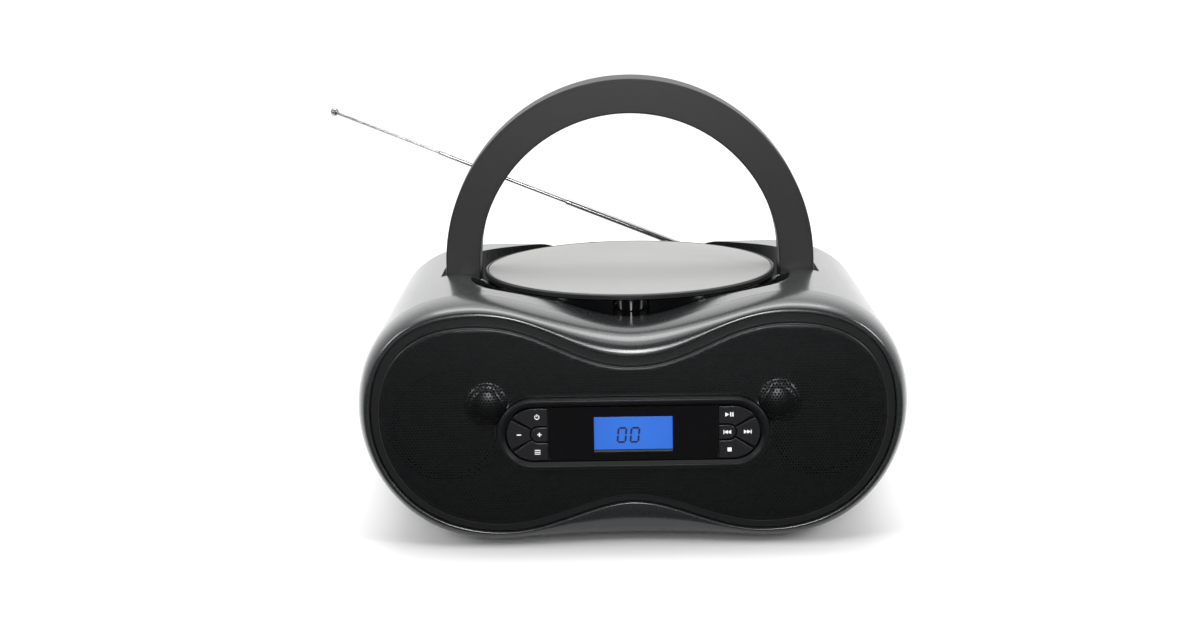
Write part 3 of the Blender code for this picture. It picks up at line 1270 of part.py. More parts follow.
def main():
    clear_scene()
    new_collection(PARTS)
    new_collection(CUTTERS)
    finish = finishes()
    front_bezel(finish["charcoal"])
    speaker_baffle(finish["black"])
    speaker_grille(finish["grille"])
    panel_frame(finish["gloss"])
    keys(finish["key"])
    display(finish["gloss"], finish["display"])
    key_board(finish["board"])
    loudspeakers(finish["steel"], finish["paper"])
    cabinet_shell(finish["charcoal"])
    rear_cover(finish["charcoal"])
    rear_screws(finish["steel"])
    rubber_feet(finish["rubber"])
    cd_well(finish["gloss"])
    lid(finish["black"], finish["lid"], finish["steel"])
    deck(finish)
    handle(finish["handle"], finish["steel"])
    antenna(finish["chrome"], finish["black"])
    electronics(finish)
    battery_parts(finish)


main()
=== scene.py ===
"""Boombox: the visible pieces, their finishes, the studio light and the camera.

Every piece is made in the model's own frame in metres: X to the viewer's right, Y to the back
and Z up, with the origin under the middle of the cabinet. A "depth" is measured back from the
grille's face.
"""

import json
import math

import bmesh
import bpy
from mathutils import Matrix, Vector
from mathutils.geometry import delaunay_2d_cdt, interpolate_bezier

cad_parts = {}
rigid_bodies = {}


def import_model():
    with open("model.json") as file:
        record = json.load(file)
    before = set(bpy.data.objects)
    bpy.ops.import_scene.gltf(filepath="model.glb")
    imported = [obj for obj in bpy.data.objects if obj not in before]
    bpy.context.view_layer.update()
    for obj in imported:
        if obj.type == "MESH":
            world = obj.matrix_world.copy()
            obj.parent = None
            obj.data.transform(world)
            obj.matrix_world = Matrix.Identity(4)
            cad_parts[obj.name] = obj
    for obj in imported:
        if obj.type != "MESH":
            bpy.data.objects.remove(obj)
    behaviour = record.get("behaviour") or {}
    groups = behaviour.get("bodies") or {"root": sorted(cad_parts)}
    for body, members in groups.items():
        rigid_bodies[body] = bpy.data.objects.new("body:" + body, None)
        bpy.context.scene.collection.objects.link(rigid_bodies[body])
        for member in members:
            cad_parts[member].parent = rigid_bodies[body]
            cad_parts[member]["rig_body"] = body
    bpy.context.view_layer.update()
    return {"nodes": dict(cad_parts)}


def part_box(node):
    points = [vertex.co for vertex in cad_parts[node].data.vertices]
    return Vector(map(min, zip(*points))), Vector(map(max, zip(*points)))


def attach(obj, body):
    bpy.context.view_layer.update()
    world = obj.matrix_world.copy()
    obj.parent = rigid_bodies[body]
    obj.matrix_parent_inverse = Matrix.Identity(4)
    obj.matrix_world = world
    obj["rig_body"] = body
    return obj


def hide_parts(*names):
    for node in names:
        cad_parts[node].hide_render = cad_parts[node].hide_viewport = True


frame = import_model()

# ---- Sizes, the same as the model's --------------------------------------------------------
BODY_DEPTH = 0.236
BODY_HEIGHT = 0.1265
SIDE = 0.142
WALL = 0.0025
SEAM = 0.0004
FIT = 0.0003
BEZEL_DEPTH = 0.027
RING_WIDTH = 0.0044
RING_DEPTH = 0.005
LIP_HEIGHT = 0.0022
LIP_RADIUS = 0.0010
BAFFLE_THICK = 0.003
PANEL_Z = 0.05925
PANEL_HALF = (0.0696, 0.0187)
PANEL_RIM = 0.0044
PANEL_RISE = 0.004
PANEL_ROUNDING = 0.0014
KEY_FACE = -0.0026
KEY_THICK = 0.0036
KEY_GAP = 0.0007
KEY_MIDDLE = 0.0037
KEY_MIDDLE_LENGTH = 0.0085
WINDOW_HALF = 0.0426
WINDOW_FACE = -0.0024
WINDOW_THICK = 0.0015
LCD_HALF = (0.0198, 0.0085)
DECK_Y = 0.006
DRUM_RADIUS = 0.0785
DRUM_TOP = 0.1183
DRUM_BOTTOM = 0.0990
LEDGE_TOP = 0.1174
WELL_RADIUS = 0.0642
WELL_FLOOR = 0.1054
LID_RADIUS = 0.080
LID_TOP = 0.1219
LID_BOTTOM = 0.1187
HINGE = (0.0935, 0.1120)
RECESS_FLOOR = 0.0985
HANDLE_INNER = 0.082
HANDLE_OUTER = 0.101
HANDLE_HALF = 0.011
PIVOT_Z = 0.110
ARCH_Z = 0.126
TRENCH_RADIUS = 0.104
TRENCH_Y = 0.022
SLOT_FRONT_Y = -0.0057
COVER_DEPTH = 0.226
REAR_ROUNDING = 0.007
ANTENNA_PIVOT = (0.0385, 0.128, 0.108)
ANTENNA_TILT = math.radians(22.2)
SCREWS = ((-0.122, 0.0759), (0.122, 0.0759), (-0.058, 0.013), (0.058, 0.013))
SPEAKER_X = 0.096
SPEAKER_Z = PANEL_Z + 0.0035
SPEAKER_OPENING = 0.029
STEM_PLACES = {"upper": (0.04885, 0.009), "lower": (0.04885, -0.009), "inner": (0.04735, 0.0),
               "outer": (0.0563, 0.0)}
PIVOT_BORE = 0.00315
HINGE_BORE = 0.0017
HINGE_EYE = 0.0036
HEAD_SINK = 0.0035
POST_DROP = 0.0135
ROOM_HALF = 0.082
ROOM_DEPTHS = (0.139, 0.199)
ROOM_TOP = 0.030
FLOOR_Z = -0.00232
STEPS = 24

helpers = []


def y_at(depth):
    return depth - BODY_DEPTH / 2


# ---- Finishes ------------------------------------------------------------------------------
def add_node(tree, kind, values=()):
    node = tree.nodes.new(kind)
    for socket, value in dict(values).items():
        node.inputs[socket].default_value = value
    return node


def surface(name, color, rough, metallic=0.0, specular=0.5, coat=0.0, grain=900.0, bump=0.05,
            shade=0.12, spread=0.05, stretch=(1, 1, 1), coat_rough=0.05, height=0.00004):
    """Moulded plastic, metal or paper: cloudy colour, uneven gloss and a fine grained relief."""
    made = bpy.data.materials.new(name)
    made.use_nodes = True
    tree = made.node_tree
    link = tree.links.new
    shader = tree.nodes["Principled BSDF"]
    for socket, value in (("Metallic", metallic), ("Specular IOR Level", specular),
                          ("Coat Weight", coat), ("Coat Roughness", coat_rough)):
        shader.inputs[socket].default_value = value
    place = add_node(tree, "ShaderNodeTexCoord")
    scale = add_node(tree, "ShaderNodeMapping", {"Scale": stretch})
    link(place.outputs["Object"], scale.inputs["Vector"])
    cloud = add_node(tree, "ShaderNodeTexNoise", {"Scale": grain * 0.06, "Detail": 5})
    link(scale.outputs["Vector"], cloud.inputs["Vector"])
    tint = add_node(tree, "ShaderNodeMix")
    tint.data_type = "RGBA"
    tint.inputs["A"].default_value = (*[c * (1 - shade) for c in color], 1)
    tint.inputs["B"].default_value = (*[min(1, c * (1 + shade)) for c in color], 1)
    link(cloud.outputs["Fac"], tint.inputs["Factor"])
    link(tint.outputs["Result"], shader.inputs["Base Color"])
    fine = add_node(tree, "ShaderNodeTexNoise", {"Scale": grain, "Detail": 3})
    link(scale.outputs["Vector"], fine.inputs["Vector"])
    gloss = add_node(tree, "ShaderNodeMapRange",
                     {"To Min": max(0.02, rough - spread), "To Max": min(1, rough + spread)})
    link(fine.outputs["Fac"], gloss.inputs["Value"])
    link(gloss.outputs["Result"], shader.inputs["Roughness"])
    relief = add_node(tree, "ShaderNodeBump", {"Strength": bump, "Distance": height})
    link(fine.outputs["Fac"], relief.inputs["Height"])
    link(relief.outputs["Normal"], shader.inputs["Normal"])
    return made


def display_glow():
    """Backlit liquid crystal: brighter in the middle, with the faint weave of its diffuser."""
    made = surface("display_glass", (0.005, 0.03, 0.10), 0.3, grain=2600, bump=0.02, shade=0.08)
    tree = made.node_tree
    link = tree.links.new
    shader = tree.nodes["Principled BSDF"]
    place = add_node(tree, "ShaderNodeTexCoord")
    centre = add_node(tree, "ShaderNodeVectorMath", {1: (0, y_at(0), PANEL_Z + 0.001)})
    centre.operation = "DISTANCE"
    link(place.outputs["Object"], centre.inputs[0])
    fade = add_node(tree, "ShaderNodeMapRange", {"From Max": 0.024})
    link(centre.outputs["Value"], fade.inputs["Value"])
    glow = add_node(tree, "ShaderNodeMix")
    glow.data_type = "RGBA"
    glow.inputs["A"].default_value = (0.026, 0.165, 0.75, 1)
    glow.inputs["B"].default_value = (0.020, 0.135, 0.67, 1)
    link(fade.outputs["Result"], glow.inputs["Factor"])
    link(glow.outputs["Result"], shader.inputs["Emission Color"])
    shader.inputs["Emission Strength"].default_value = 0.85
    return made


CHARCOAL = surface("charcoal_plastic", (0.013, 0.0148, 0.0158), 0.27, specular=0.6, coat=0.6,
                   coat_rough=0.16, grain=3600, bump=0.015, spread=0.02, height=0.00001)
HANDLE = surface("handle_plastic", (0.0130, 0.0130, 0.0124), 0.40, specular=0.35, grain=3600,
                 bump=0.15, height=0.00002)
BLACK = surface("black_plastic", (0.006, 0.006, 0.0065), 0.42, specular=0.35, grain=2600, bump=0.2)
LID_EDGE = surface("lid_edge_plastic", (0.020, 0.021, 0.022), 0.30, specular=0.45, grain=2600,
                   bump=0.12)
GLOSS = surface("gloss_black", (0.003, 0.003, 0.0035), 0.10, specular=0.4, grain=1500, bump=0.03,
                spread=0.03)
PANEL = surface("panel_black", (0.005, 0.0055, 0.006), 0.33, specular=0.22, grain=2400, bump=0.10)
GRILLE = surface("grille_metal", (0.032, 0.034, 0.035), 0.30, metallic=0.9, grain=3600, bump=0.15,
                 shade=0.2, height=0.00002)
KEY = surface("key_plastic", (0.010, 0.010, 0.0115), 0.22, specular=0.5, grain=2600, bump=0.08)
LID = surface("lid_plate", (0.31, 0.31, 0.306), 0.42, metallic=0.15, specular=0.4, grain=2600,
              bump=0.05, shade=0.05, stretch=(0.12, 1, 1))
DISPLAY = display_glow()
DIGIT = surface("display_segments", (0.003, 0.007, 0.055), 0.4, grain=2600, bump=0.03)
BOARD = surface("board", (0.015, 0.10, 0.045), 0.45, grain=1200, bump=0.1, shade=0.3)
STEEL = surface("steel", (0.50, 0.51, 0.53), 0.28, metallic=1.0, grain=3000, bump=0.08,
                stretch=(1, 1, 0.2))
PAINTED = surface("painted_steel", (0.008, 0.008, 0.008), 0.5, specular=0.3, grain=2600, bump=0.15)
CHROME = surface("chrome", (0.30, 0.30, 0.305), 0.16, metallic=1.0, grain=1800, bump=0.02, spread=0.04)
PAPER = surface("cone_paper", (0.018, 0.017, 0.016), 0.8, specular=0.2, grain=5200, bump=0.7,
                shade=0.35, height=0.0001)
RUBBER = surface("rubber", (0.014, 0.014, 0.014), 0.7, specular=0.3, grain=3600, bump=0.45)
LENS = surface("lens_glass", (0.10, 0.08, 0.22), 0.05, specular=0.8, coat=1.0, bump=0.01, spread=0.02)
WHITE = surface("white_plastic", (0.70, 0.70, 0.67), 0.38, grain=2600, bump=0.1, shade=0.05)
MARK = surface("key_marks", (0.78, 0.79, 0.80), 0.5, grain=2600, bump=0.05, shade=0.06)
COPPER = surface("spring_contact", (0.64, 0.60, 0.50), 0.3, metallic=1.0, grain=2600, bump=0.1)
BATTERY = surface("door_plastic", (0.014, 0.015, 0.016), 0.45, specular=0.4, grain=3200, bump=0.4)


# ---- Outlines ------------------------------------------------------------------------------
def quarter(start, start_reach, end_reach, end):
    handle_a = Vector(start) + Vector(start_reach)
    handle_b = Vector(end) + Vector(end_reach)
    return interpolate_bezier(Vector(start), handle_a, handle_b, Vector(end), STEPS + 1)[:-1]


def lobed_outline(middle_top, lobe_top, side, lobe_bottom, middle_bottom, across, up):
    across = [share * SIDE for share in across]
    up = [share * BODY_HEIGHT for share in up]
    right = quarter((0, middle_top), (across[0], 0), (-across[1], 0), lobe_top)
    right += quarter(lobe_top, (across[2], 0), (0, up[0]), side)
    right += quarter(side, (0, -up[1]), (across[3], 0), lobe_bottom)
    right += quarter(lobe_bottom, (-across[4], 0), (across[5], 0), (0, middle_bottom))
    right = [(point.x, point.y) for point in right] + [(0, middle_bottom)]
    return right + [(-x, z) for x, z in reversed(right[1:-1])]


def offset(loop, distance):
    """The loop moved outwards by distance. It runs clockwise seen from the front."""
    moved = []
    for index, (x, z) in enumerate(loop):
        before = Vector(loop[index - 1])
        after = Vector(loop[(index + 1) % len(loop)])
        here = Vector((x, z))
        first = (here - before).normalized()
        second = (after - here).normalized()
        along = (first + second).normalized()
        outward = Vector((-along.y, along.x))
        moved.append(tuple(here + outward * distance / max(0.5, along.dot(first))))
    return moved


def mix(loop_a, loop_b, share):
    return [(xa + (xb - xa) * share, za + (zb - za) * share)
            for (xa, za), (xb, zb) in zip(loop_a, loop_b)]


GRILLE_LOOP = lobed_outline(
    0.0931, (0.0801, 0.1147), (0.1299, 0.06875), (0.0671, 0.0108), 0.0260,
    (0.222, 0.245, 0.214, 0.298, 0.178, 0.156), (0.256, 0.221))
SEAM_LOOP = lobed_outline(
    0.1097, (0.0813, 0.1265), (0.142, 0.07025), (0.074, 0), 0,
    (0.167, 0.166, 0.292, 0.296, 0.141, 0.141), (0.247, 0.261))
REAR_LOOP = lobed_outline(
    0.115, (0.0813, 0.116), (0.139, 0.06725), (0.074, 0), 0,
    (0.167, 0.166, 0.268, 0.282, 0.141, 0.141), (0.245, 0.261))


def body_loop(depth):
    return mix(SEAM_LOOP, REAR_LOOP, (depth - BEZEL_DEPTH) / (BODY_DEPTH - BEZEL_DEPTH))


def at_depth(loop, depth):
    return [(x, y_at(depth), z) for x, z in loop]


def arc(centre, radius, start, end, count):
    points = []
    for step in range(count + 1):
        angle = math.radians(start + (end - start) * step / count)
        points.append((centre[0] + radius * math.cos(angle), centre[1] + radius * math.sin(angle)))
    return points


def pill(half_length, half_height, count=28):
    right = arc((half_length - half_height, 0), half_height, -90, 90, count)
    return right + arc((half_height - half_length, 0), half_height, 90, 270, count)


# ---- Making meshes -------------------------------------------------------------------------
def mesh_of(points, faces, name):
    mesh = bpy.data.meshes.new(name)
    mesh.from_pydata([tuple(point) for point in points], [], faces)
    shape = bmesh.new()
    shape.from_mesh(mesh)
    bmesh.ops.remove_doubles(shape, verts=shape.verts, dist=0.0000004)
    bmesh.ops.recalc_face_normals(shape, faces=shape.faces)
    shape.to_mesh(mesh)
    shape.free()
    return mesh


def draft(name, mesh):
    obj = bpy.data.objects.new(name, mesh)
    bpy.context.scene.collection.objects.link(obj)
    helpers.append(obj)
    return obj


def band(low, high, count):
    """The faces between two rings of points, which start at low and high in the list."""
    return [(low + i, low + (i + 1) % count, high + (i + 1) % count, high + i)
            for i in range(count)]


def add_prism(points, faces, loop, near, far):
    """A flat outline given thickness from one depth to the other."""
    first, count = len(points), len(loop)
    for depth in (near, far):
        points += [(x, y_at(depth), z) for x, z in loop]
    faces += [tuple(first + i for i in range(count)),
              tuple(first + 2 * count - 1 - i for i in range(count))]
    faces += band(first, first + count, count)


def loft(name, rings, endless=False, capped=True):
    points = [point for ring in rings for point in ring]
    count = len(rings[0])
    pairs = list(zip(range(len(rings)), range(1, len(rings))))
    if endless:
        pairs.append((len(rings) - 1, 0))
    faces = []
    for near, far in pairs:
        faces += band(near * count, far * count, count)
    if capped and not endless:
        faces.append(list(reversed(range(count))))
        faces.append([(len(rings) - 1) * count + i for i in range(count)])
    return draft(name, mesh_of(points, faces, name))


def along_axis(axis, place, u, v, w):
    """The point u and v across an axis and w along it."""
    if axis == "X":
        return (place[0] + w, place[1] + u, place[2] + v)
    if axis == "Y":
        return (place[0] + u, place[1] + w, place[2] + v)
    return (place[0] + u, place[1] + v, place[2] + w)


def plate(name, loop, low, high, axis, place=(0, 0, 0)):
    """A flat outline across an axis, filled from low to high along it."""
    return loft(name, [[along_axis(axis, place, u, v, end) for u, v in loop]
                       for end in (low, high)])


def box(name, low, high):
    loop = [(low[0], low[1]), (high[0], low[1]), (high[0], high[1]), (low[0], high[1])]
    return plate(name, loop, low[2], high[2], "Z")


def turned(name, profile, place, axis, sides=64):
    """(radius, height) pairs swept round an axis. A radius of 0 closes an end."""
    rings = []
    for radius, height in profile:
        ring = []
        for step in range(sides):
            angle = 2 * math.pi * step / sides
            ring.append(along_axis(axis, place, max(radius, 1e-6) * math.cos(angle),
                                   max(radius, 1e-6) * math.sin(angle), height))
        rings.append(ring)
    return loft(name, rings, endless=profile[0][0] > 0)


def cylinder(name, radius, start, length, axis, sides=48):
    return turned(name, [(0, 0), (radius, 0), (radius, length), (0, length)], start, axis, sides)


def applied(obj):
    """The object's modifiers become its mesh."""
    bpy.context.view_layer.update()
    graph = bpy.context.evaluated_depsgraph_get()
    mesh = bpy.data.meshes.new_from_object(obj.evaluated_get(graph))
    obj.modifiers.clear()
    obj.data = mesh
    return obj


def boolean(obj, other, operation):
    step = obj.modifiers.new(other.name, "BOOLEAN")
    step.operation = operation
    step.object = other
    step.solver = "EXACT"


def cut(obj, *cutters):
    for cutter in cutters:
        boolean(obj, cutter, "DIFFERENCE")
    return applied(obj)


def join(obj, *pieces):
    for piece in pieces:
        boolean(obj, piece, "UNION")
    return applied(obj)


def soften(obj, width, segments=3, angle=40):
    step = obj.modifiers.new("soften", "BEVEL")
    step.width = width
    step.segments = segments
    step.limit_method = "ANGLE"
    step.angle_limit = math.radians(angle)
    return applied(obj)


def piece(obj, finish, body, slot, *nodes, angle=32, flat=True):
    """A finished piece: smooth shaded, on its body, in place of its nodes. The slot is not used."""
    helpers.remove(obj)
    obj.data.materials.clear()
    obj.data.materials.append(finish)
    obj.data.shade_smooth()
    obj.data.set_sharp_from_angle(angle=math.radians(angle))
    if flat:
        even = obj.modifiers.new("even_normals", "WEIGHTED_NORMAL")
        even.keep_sharp = True
        applied(obj)
    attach(obj, body)
    for node in nodes:
        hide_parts(node)


def clear_helpers():
    while helpers:
        bpy.data.objects.remove(helpers.pop())


# ---- Front bezel and baffle ----------------------------------------------------------------
def bezel_skin(front, back, front_depth, degrees):
    power = 2 / 2.4
    rings = []
    for step in degrees:
        angle = math.radians(step)
        out = math.sin(angle) ** power
        rearward = 1 - abs(math.cos(angle)) ** power if step < 90 else 1
        depth = front_depth + (BEZEL_DEPTH - front_depth) * rearward
        rings.append(at_depth(mix(front, back, out), depth))
    return rings


def make_bezel():
    crest = offset(GRILLE_LOOP, RING_WIDTH + LIP_RADIUS)
    crest_depth = RING_DEPTH - LIP_HEIGHT
    rings = [at_depth(offset(GRILLE_LOOP, RING_WIDTH), RING_DEPTH + BAFFLE_THICK)]
    for degrees in range(0, 91, 15):
        angle = math.radians(degrees)
        lip = offset(GRILLE_LOOP, RING_WIDTH + LIP_RADIUS * (1 - math.cos(angle)))
        rings.append(at_depth(lip, crest_depth + LIP_RADIUS * (1 - math.sin(angle))))
    skin = [2, 5, 9, 14, 20, 26, 32, 38, 44, 50, 56, 62, 68, 74, 79, 83, 86, 88, 90]
    rings += bezel_skin(crest, SEAM_LOOP, crest_depth, skin)
    inside = bezel_skin(offset(GRILLE_LOOP, RING_WIDTH + WALL), offset(SEAM_LOOP, -WALL),
                        RING_DEPTH + BAFFLE_THICK, (0, 20, 45, 70, 90))
    obj = loft("bezel_shell", rings + list(reversed(inside)), endless=True)
    piece(obj, CHARCOAL, "cabinet", "charcoal", "front_bezel", angle=50)

    edge = offset(GRILLE_LOOP, RING_WIDTH - FIT)
    low, high = y_at(RING_DEPTH), y_at(RING_DEPTH + BAFFLE_THICK)
    baffle = plate("baffle_plate", edge, low, high, "Y")
    holes = [cylinder(f"hole_{side}", SPEAKER_OPENING, (side * SPEAKER_X, low - WALL, SPEAKER_Z),
                      3 * WALL, "Y") for side in (-1, 1)]
    slot = plate("slot", pill(0.0631, 0.0147), low - WALL, high + WALL, "Y", (0, 0, PANEL_Z))
    cut(baffle, slot, *holes)
    piece(baffle, BLACK, "cabinet", "black", "speaker_baffle")


# ---- Perforated grille ---------------------------------------------------------------------
PITCH = 0.00170
HOLE = 0.00057
CELL = PITCH / math.sqrt(3)
EDGE_ROLL = 0.0010
DOMES = ((-0.0745, 0.07475), (0.0745, 0.07475))
DOME_RADIUS = 0.0105
DOME_HEIGHT = 0.0032


def dome_rise(x, z):
    """How far the grille stands forward at a point of its face."""
    for cx, cz in DOMES:
        away = math.hypot(x - cx, z - cz) / DOME_RADIUS
        if away >= 1.03:
            continue
        low = DOME_HEIGHT * 0.35
        if away <= 0.80:
            return low + (DOME_HEIGHT - low) * math.sqrt(max(0, 1 - (away / 0.80) ** 2))
        if away <= 0.93:
            return low * 0.92
        return low * (1.03 - away) / 0.10
    return 0.0


def inside(loop, x, z):
    hit = False
    for (xa, za), (xb, zb) in zip(loop, loop[1:] + loop[:1]):
        if (za > z) != (zb > z) and x < (xb - xa) * (z - za) / (zb - za) + xa:
            hit = not hit
    return hit


def grid_cells(outer, hole):
    """Centres of the hexagons that lie wholly on the face, as lattice (column, row)."""
    row_step = PITCH * math.sqrt(3) / 2
    wide = offset(outer, -CELL * 1.02)
    cells = set()
    for row in range(-80, 80):
        for column in range(-160, 161):
            if (row + column) % 2:
                continue
            x, z = column * PITCH / 2, SPEAKER_Z + row * row_step
            if inside(wide, x, z) and not inside(hole, x, z):
                cells.add((column, row))
    return cells, row_step


def make_grille():
    rim_face = offset(GRILLE_LOOP, -EDGE_ROLL)
    hole = [(x, z + PANEL_Z) for x, z in pill(PANEL_HALF[0] + FIT, PANEL_HALF[1] + FIT)]
    keep_out = [(x, z + PANEL_Z) for x, z in pill(PANEL_HALF[0] + FIT + CELL * 1.05,
                                                  PANEL_HALF[1] + FIT + CELL * 1.05)]
    cells, row_step = grid_cells(rim_face, keep_out)
    middle = SPEAKER_Z
    corners = {}
    points, faces = [], []

    def corner(column, row, index):
        """Corner points are shared: their lattice place is counted in thirds of a row."""
        angle = math.radians(30 + 60 * index)
        x = column * PITCH / 2 + CELL * math.cos(angle)
        z = middle + row * row_step + CELL * math.sin(angle)
        key = (round(x / (PITCH / 2)), round((z - middle) / (CELL / 2)))
        if key not in corners:
            corners[key] = len(points)
            points.append((x, z, 0.0))
        return corners[key]

    edges = {}
    for column, row in sorted(cells):
        x, z = column * PITCH / 2, middle + row * row_step
        outer = [corner(column, row, index) for index in range(6)]
        inner = []
        for level in (0.0, 0.0005):
            for index in range(6):
                angle = math.radians(30 + 60 * index)
                inner.append(len(points))
                points.append((x + HOLE * math.cos(angle), z + HOLE * math.sin(angle), level))
        for index in range(6):
            after = (index + 1) % 6
            faces.append((outer[index], outer[after], inner[after], inner[index]))
            faces.append((inner[index], inner[after], inner[6 + after], inner[6 + index]))
            key = tuple(sorted((outer[index], outer[after])))
            edges[key] = edges.get(key, 0) + 1

    border = [key for key, count in edges.items() if count == 1]
    used = sorted({index for key in border for index in key})
    local = {index: place for place, index in enumerate(used)}
    flat = [Vector(points[index][:2]) for index in used]
    lines = [(local[a], local[b]) for a, b in border]
    for loop in (rim_face, hole):
        first = len(flat)
        flat += [Vector(point) for point in loop]
        lines += [(first + i, first + (i + 1) % len(loop)) for i in range(len(loop))]
    made, _, triangles, _, _, _ = delaunay_2d_cdt(flat, lines, [], 0, 1e-7)
    base = len(points)
    points += [(point.x, point.y, 0.0) for point in made]
    for triangle in triangles:
        x = sum(made[i].x for i in triangle) / 3
        z = sum(made[i].y for i in triangle) / 3
        if not inside(rim_face, x, z) or inside(hole, x, z):
            continue
        row = round((z - middle) / row_step)
        near = min(((column, r) for r in (row - 1, row, row + 1)
                    for column in range(round(x / (PITCH / 2)) - 2, round(x / (PITCH / 2)) + 3)
                    if (column + r) % 2 == 0),
                   key=lambda cell: math.hypot(cell[0] * PITCH / 2 - x,
                                               middle + cell[1] * row_step - z))
        if near not in cells:
            faces.append(tuple(base + i for i in triangle))

    solid = [(x, y_at(level) - dome_rise(x, z), z) for x, z, level in points]
    first = len(solid)
    rings = [(rim_face, 0.0)]
    for degrees in (30, 60, 90):
        angle = math.radians(degrees)
        rings.append((offset(GRILLE_LOOP, -EDGE_ROLL * (1 - math.sin(angle))),
                      EDGE_ROLL * (1 - math.cos(angle))))
    rings += [(GRILLE_LOOP, RING_DEPTH - FIT), (offset(GRILLE_LOOP, -0.0008), RING_DEPTH - FIT)]
    count = len(GRILLE_LOOP)
    for loop, depth in rings:
        solid += at_depth(loop, depth)
    for near in range(len(rings) - 1):
        faces += band(first + near * count, first + (near + 1) * count, count)
    first = len(solid)
    solid += at_depth(hole, 0.0) + at_depth(hole, RING_DEPTH - FIT)
    faces += band(first, first + len(hole), len(hole))
    obj = draft("grille_sheet", mesh_of(solid, faces, "grille_sheet"))
    piece(obj, GRILLE, "cabinet", "grille", "speaker_grille", angle=40, flat=False)


# ---- Control panel -------------------------------------------------------------------------
def make_panel():
    back = RING_DEPTH - FIT
    half_x, half_z = PANEL_HALF

    def ring(inset, depth):
        return [(x, y_at(depth), z + PANEL_Z) for x, z in pill(half_x - inset, half_z - inset)]

    rings = [ring(0, back)]
    for degrees in range(0, 91, 15):
        angle = math.radians(degrees)
        rings.append(ring(PANEL_ROUNDING * (1 - math.cos(angle)),
                          -PANEL_RISE + PANEL_ROUNDING * (1 - math.sin(angle))))
    rings += [ring(0.0021, -PANEL_RISE), ring(0.0024, -PANEL_RISE + 0.00008),
              ring(0.0027, -PANEL_RISE + 0.0003), ring(0.0041, -PANEL_RISE + 0.0017),
              ring(PANEL_RIM, -PANEL_RISE + 0.0021), ring(PANEL_RIM, back - 0.0020)]
    obj = loft("panel_body", rings)
    holes = [cylinder(f"stem_{place}_{side}", 0.0022, (side * x, y_at(0), PANEL_Z + z), 0.02, "Y", 20)
             for place, (x, z) in STEM_PLACES.items() for side in (-1, 1)]
    holes.append(box("cable", (-0.010, y_at(0), PANEL_Z - 0.004),
                     (0.010, y_at(0.02), PANEL_Z + 0.004)))
    cut(obj, *holes)
    piece(obj, PANEL, "cabinet", "gloss", "panel_frame", angle=40)

    up = half_z - PANEL_RIM - FIT
    low = (-WINDOW_HALF, y_at(WINDOW_FACE), PANEL_Z - up)
    high = (WINDOW_HALF, y_at(WINDOW_FACE + WINDOW_THICK), PANEL_Z + up)
    window = box("window_pane", low, high)
    across, tall = LCD_HALF
    gap = 0.0002
    cut(window, box("aperture", (-across - gap, y_at(WINDOW_FACE - WALL), PANEL_Z - tall - gap),
                    (across + gap, y_at(WINDOW_FACE + WALL), PANEL_Z + tall + gap)))
    base = PANEL_Z - tall - gap
    front = y_at(WINDOW_FACE)
    sill = [(front - 0.0005, base - 0.0014), (front + 0.0009, base), (front + 0.0009, base + 0.0005),
            (front - 0.0005, base + 0.0005)]
    cut(window, plate("sill", sill, -across - gap, across + gap, "X"))
    soften(window, 0.00015, 3)
    piece(window, GLOSS, "cabinet", "gloss", "display_window")

    front = WINDOW_FACE + WINDOW_THICK + FIT
    lcd = box("display_block", (-across - 0.0025, y_at(front), PANEL_Z - tall - 0.0025),
              (across + 0.0025, y_at(front + 0.0028), PANEL_Z + tall + 0.0025))
    face = box("face", (-across, y_at(WINDOW_FACE + 0.0006), PANEL_Z - tall),
               (across, y_at(front + 0.001), PANEL_Z + tall))
    join(lcd, face)
    soften(lcd, 0.0001, 2)
    piece(lcd, DISPLAY, "cabinet", "display", "lcd_module")
    make_digits(WINDOW_FACE + 0.0006)


SEGMENTS = {"a": (0, 2, 1), "g": (0, 1, 1), "d": (0, 0, 1), "f": (-1, 1.5, 0), "b": (1, 1.5, 0),
            "e": (-1, 0.5, 0), "c": (1, 0.5, 0)}
SHOWN = (("abcdef", -0.0057), ("abcdef", 0.0009))


def make_digits(face_depth):
    """Seven-segment figures standing a hair proud of the display's face."""
    half_w, half_h, thick = 0.0020, 0.00185, 0.00050
    points, faces = [], []
    for lit, middle in SHOWN:
        for name in lit:
            sx, sz, flat = SEGMENTS[name]
            cx = middle + sx * half_w
            cz = PANEL_Z - 0.0047 + sz * 2 * half_h
            cx += (cz - PANEL_Z) * 0.10
            long_half = (half_w if flat else half_h) - 0.00012
            ends = [(-long_half, 0), (-long_half + thick, thick), (long_half - thick, thick),
                    (long_half, 0), (long_half - thick, -thick), (-long_half + thick, -thick)]
            loop = []
            for u, v in ends:
                x, z = (u, v) if flat else (v, u)
                loop.append((cx + x + z * 0.10, cz + z))
            add_prism(points, faces, loop, face_depth - 0.00006, face_depth + 0.00006)
    obj = draft("display_segments", mesh_of(points, faces, "display_segments"))
    piece(obj, DIGIT, "cabinet", "display")


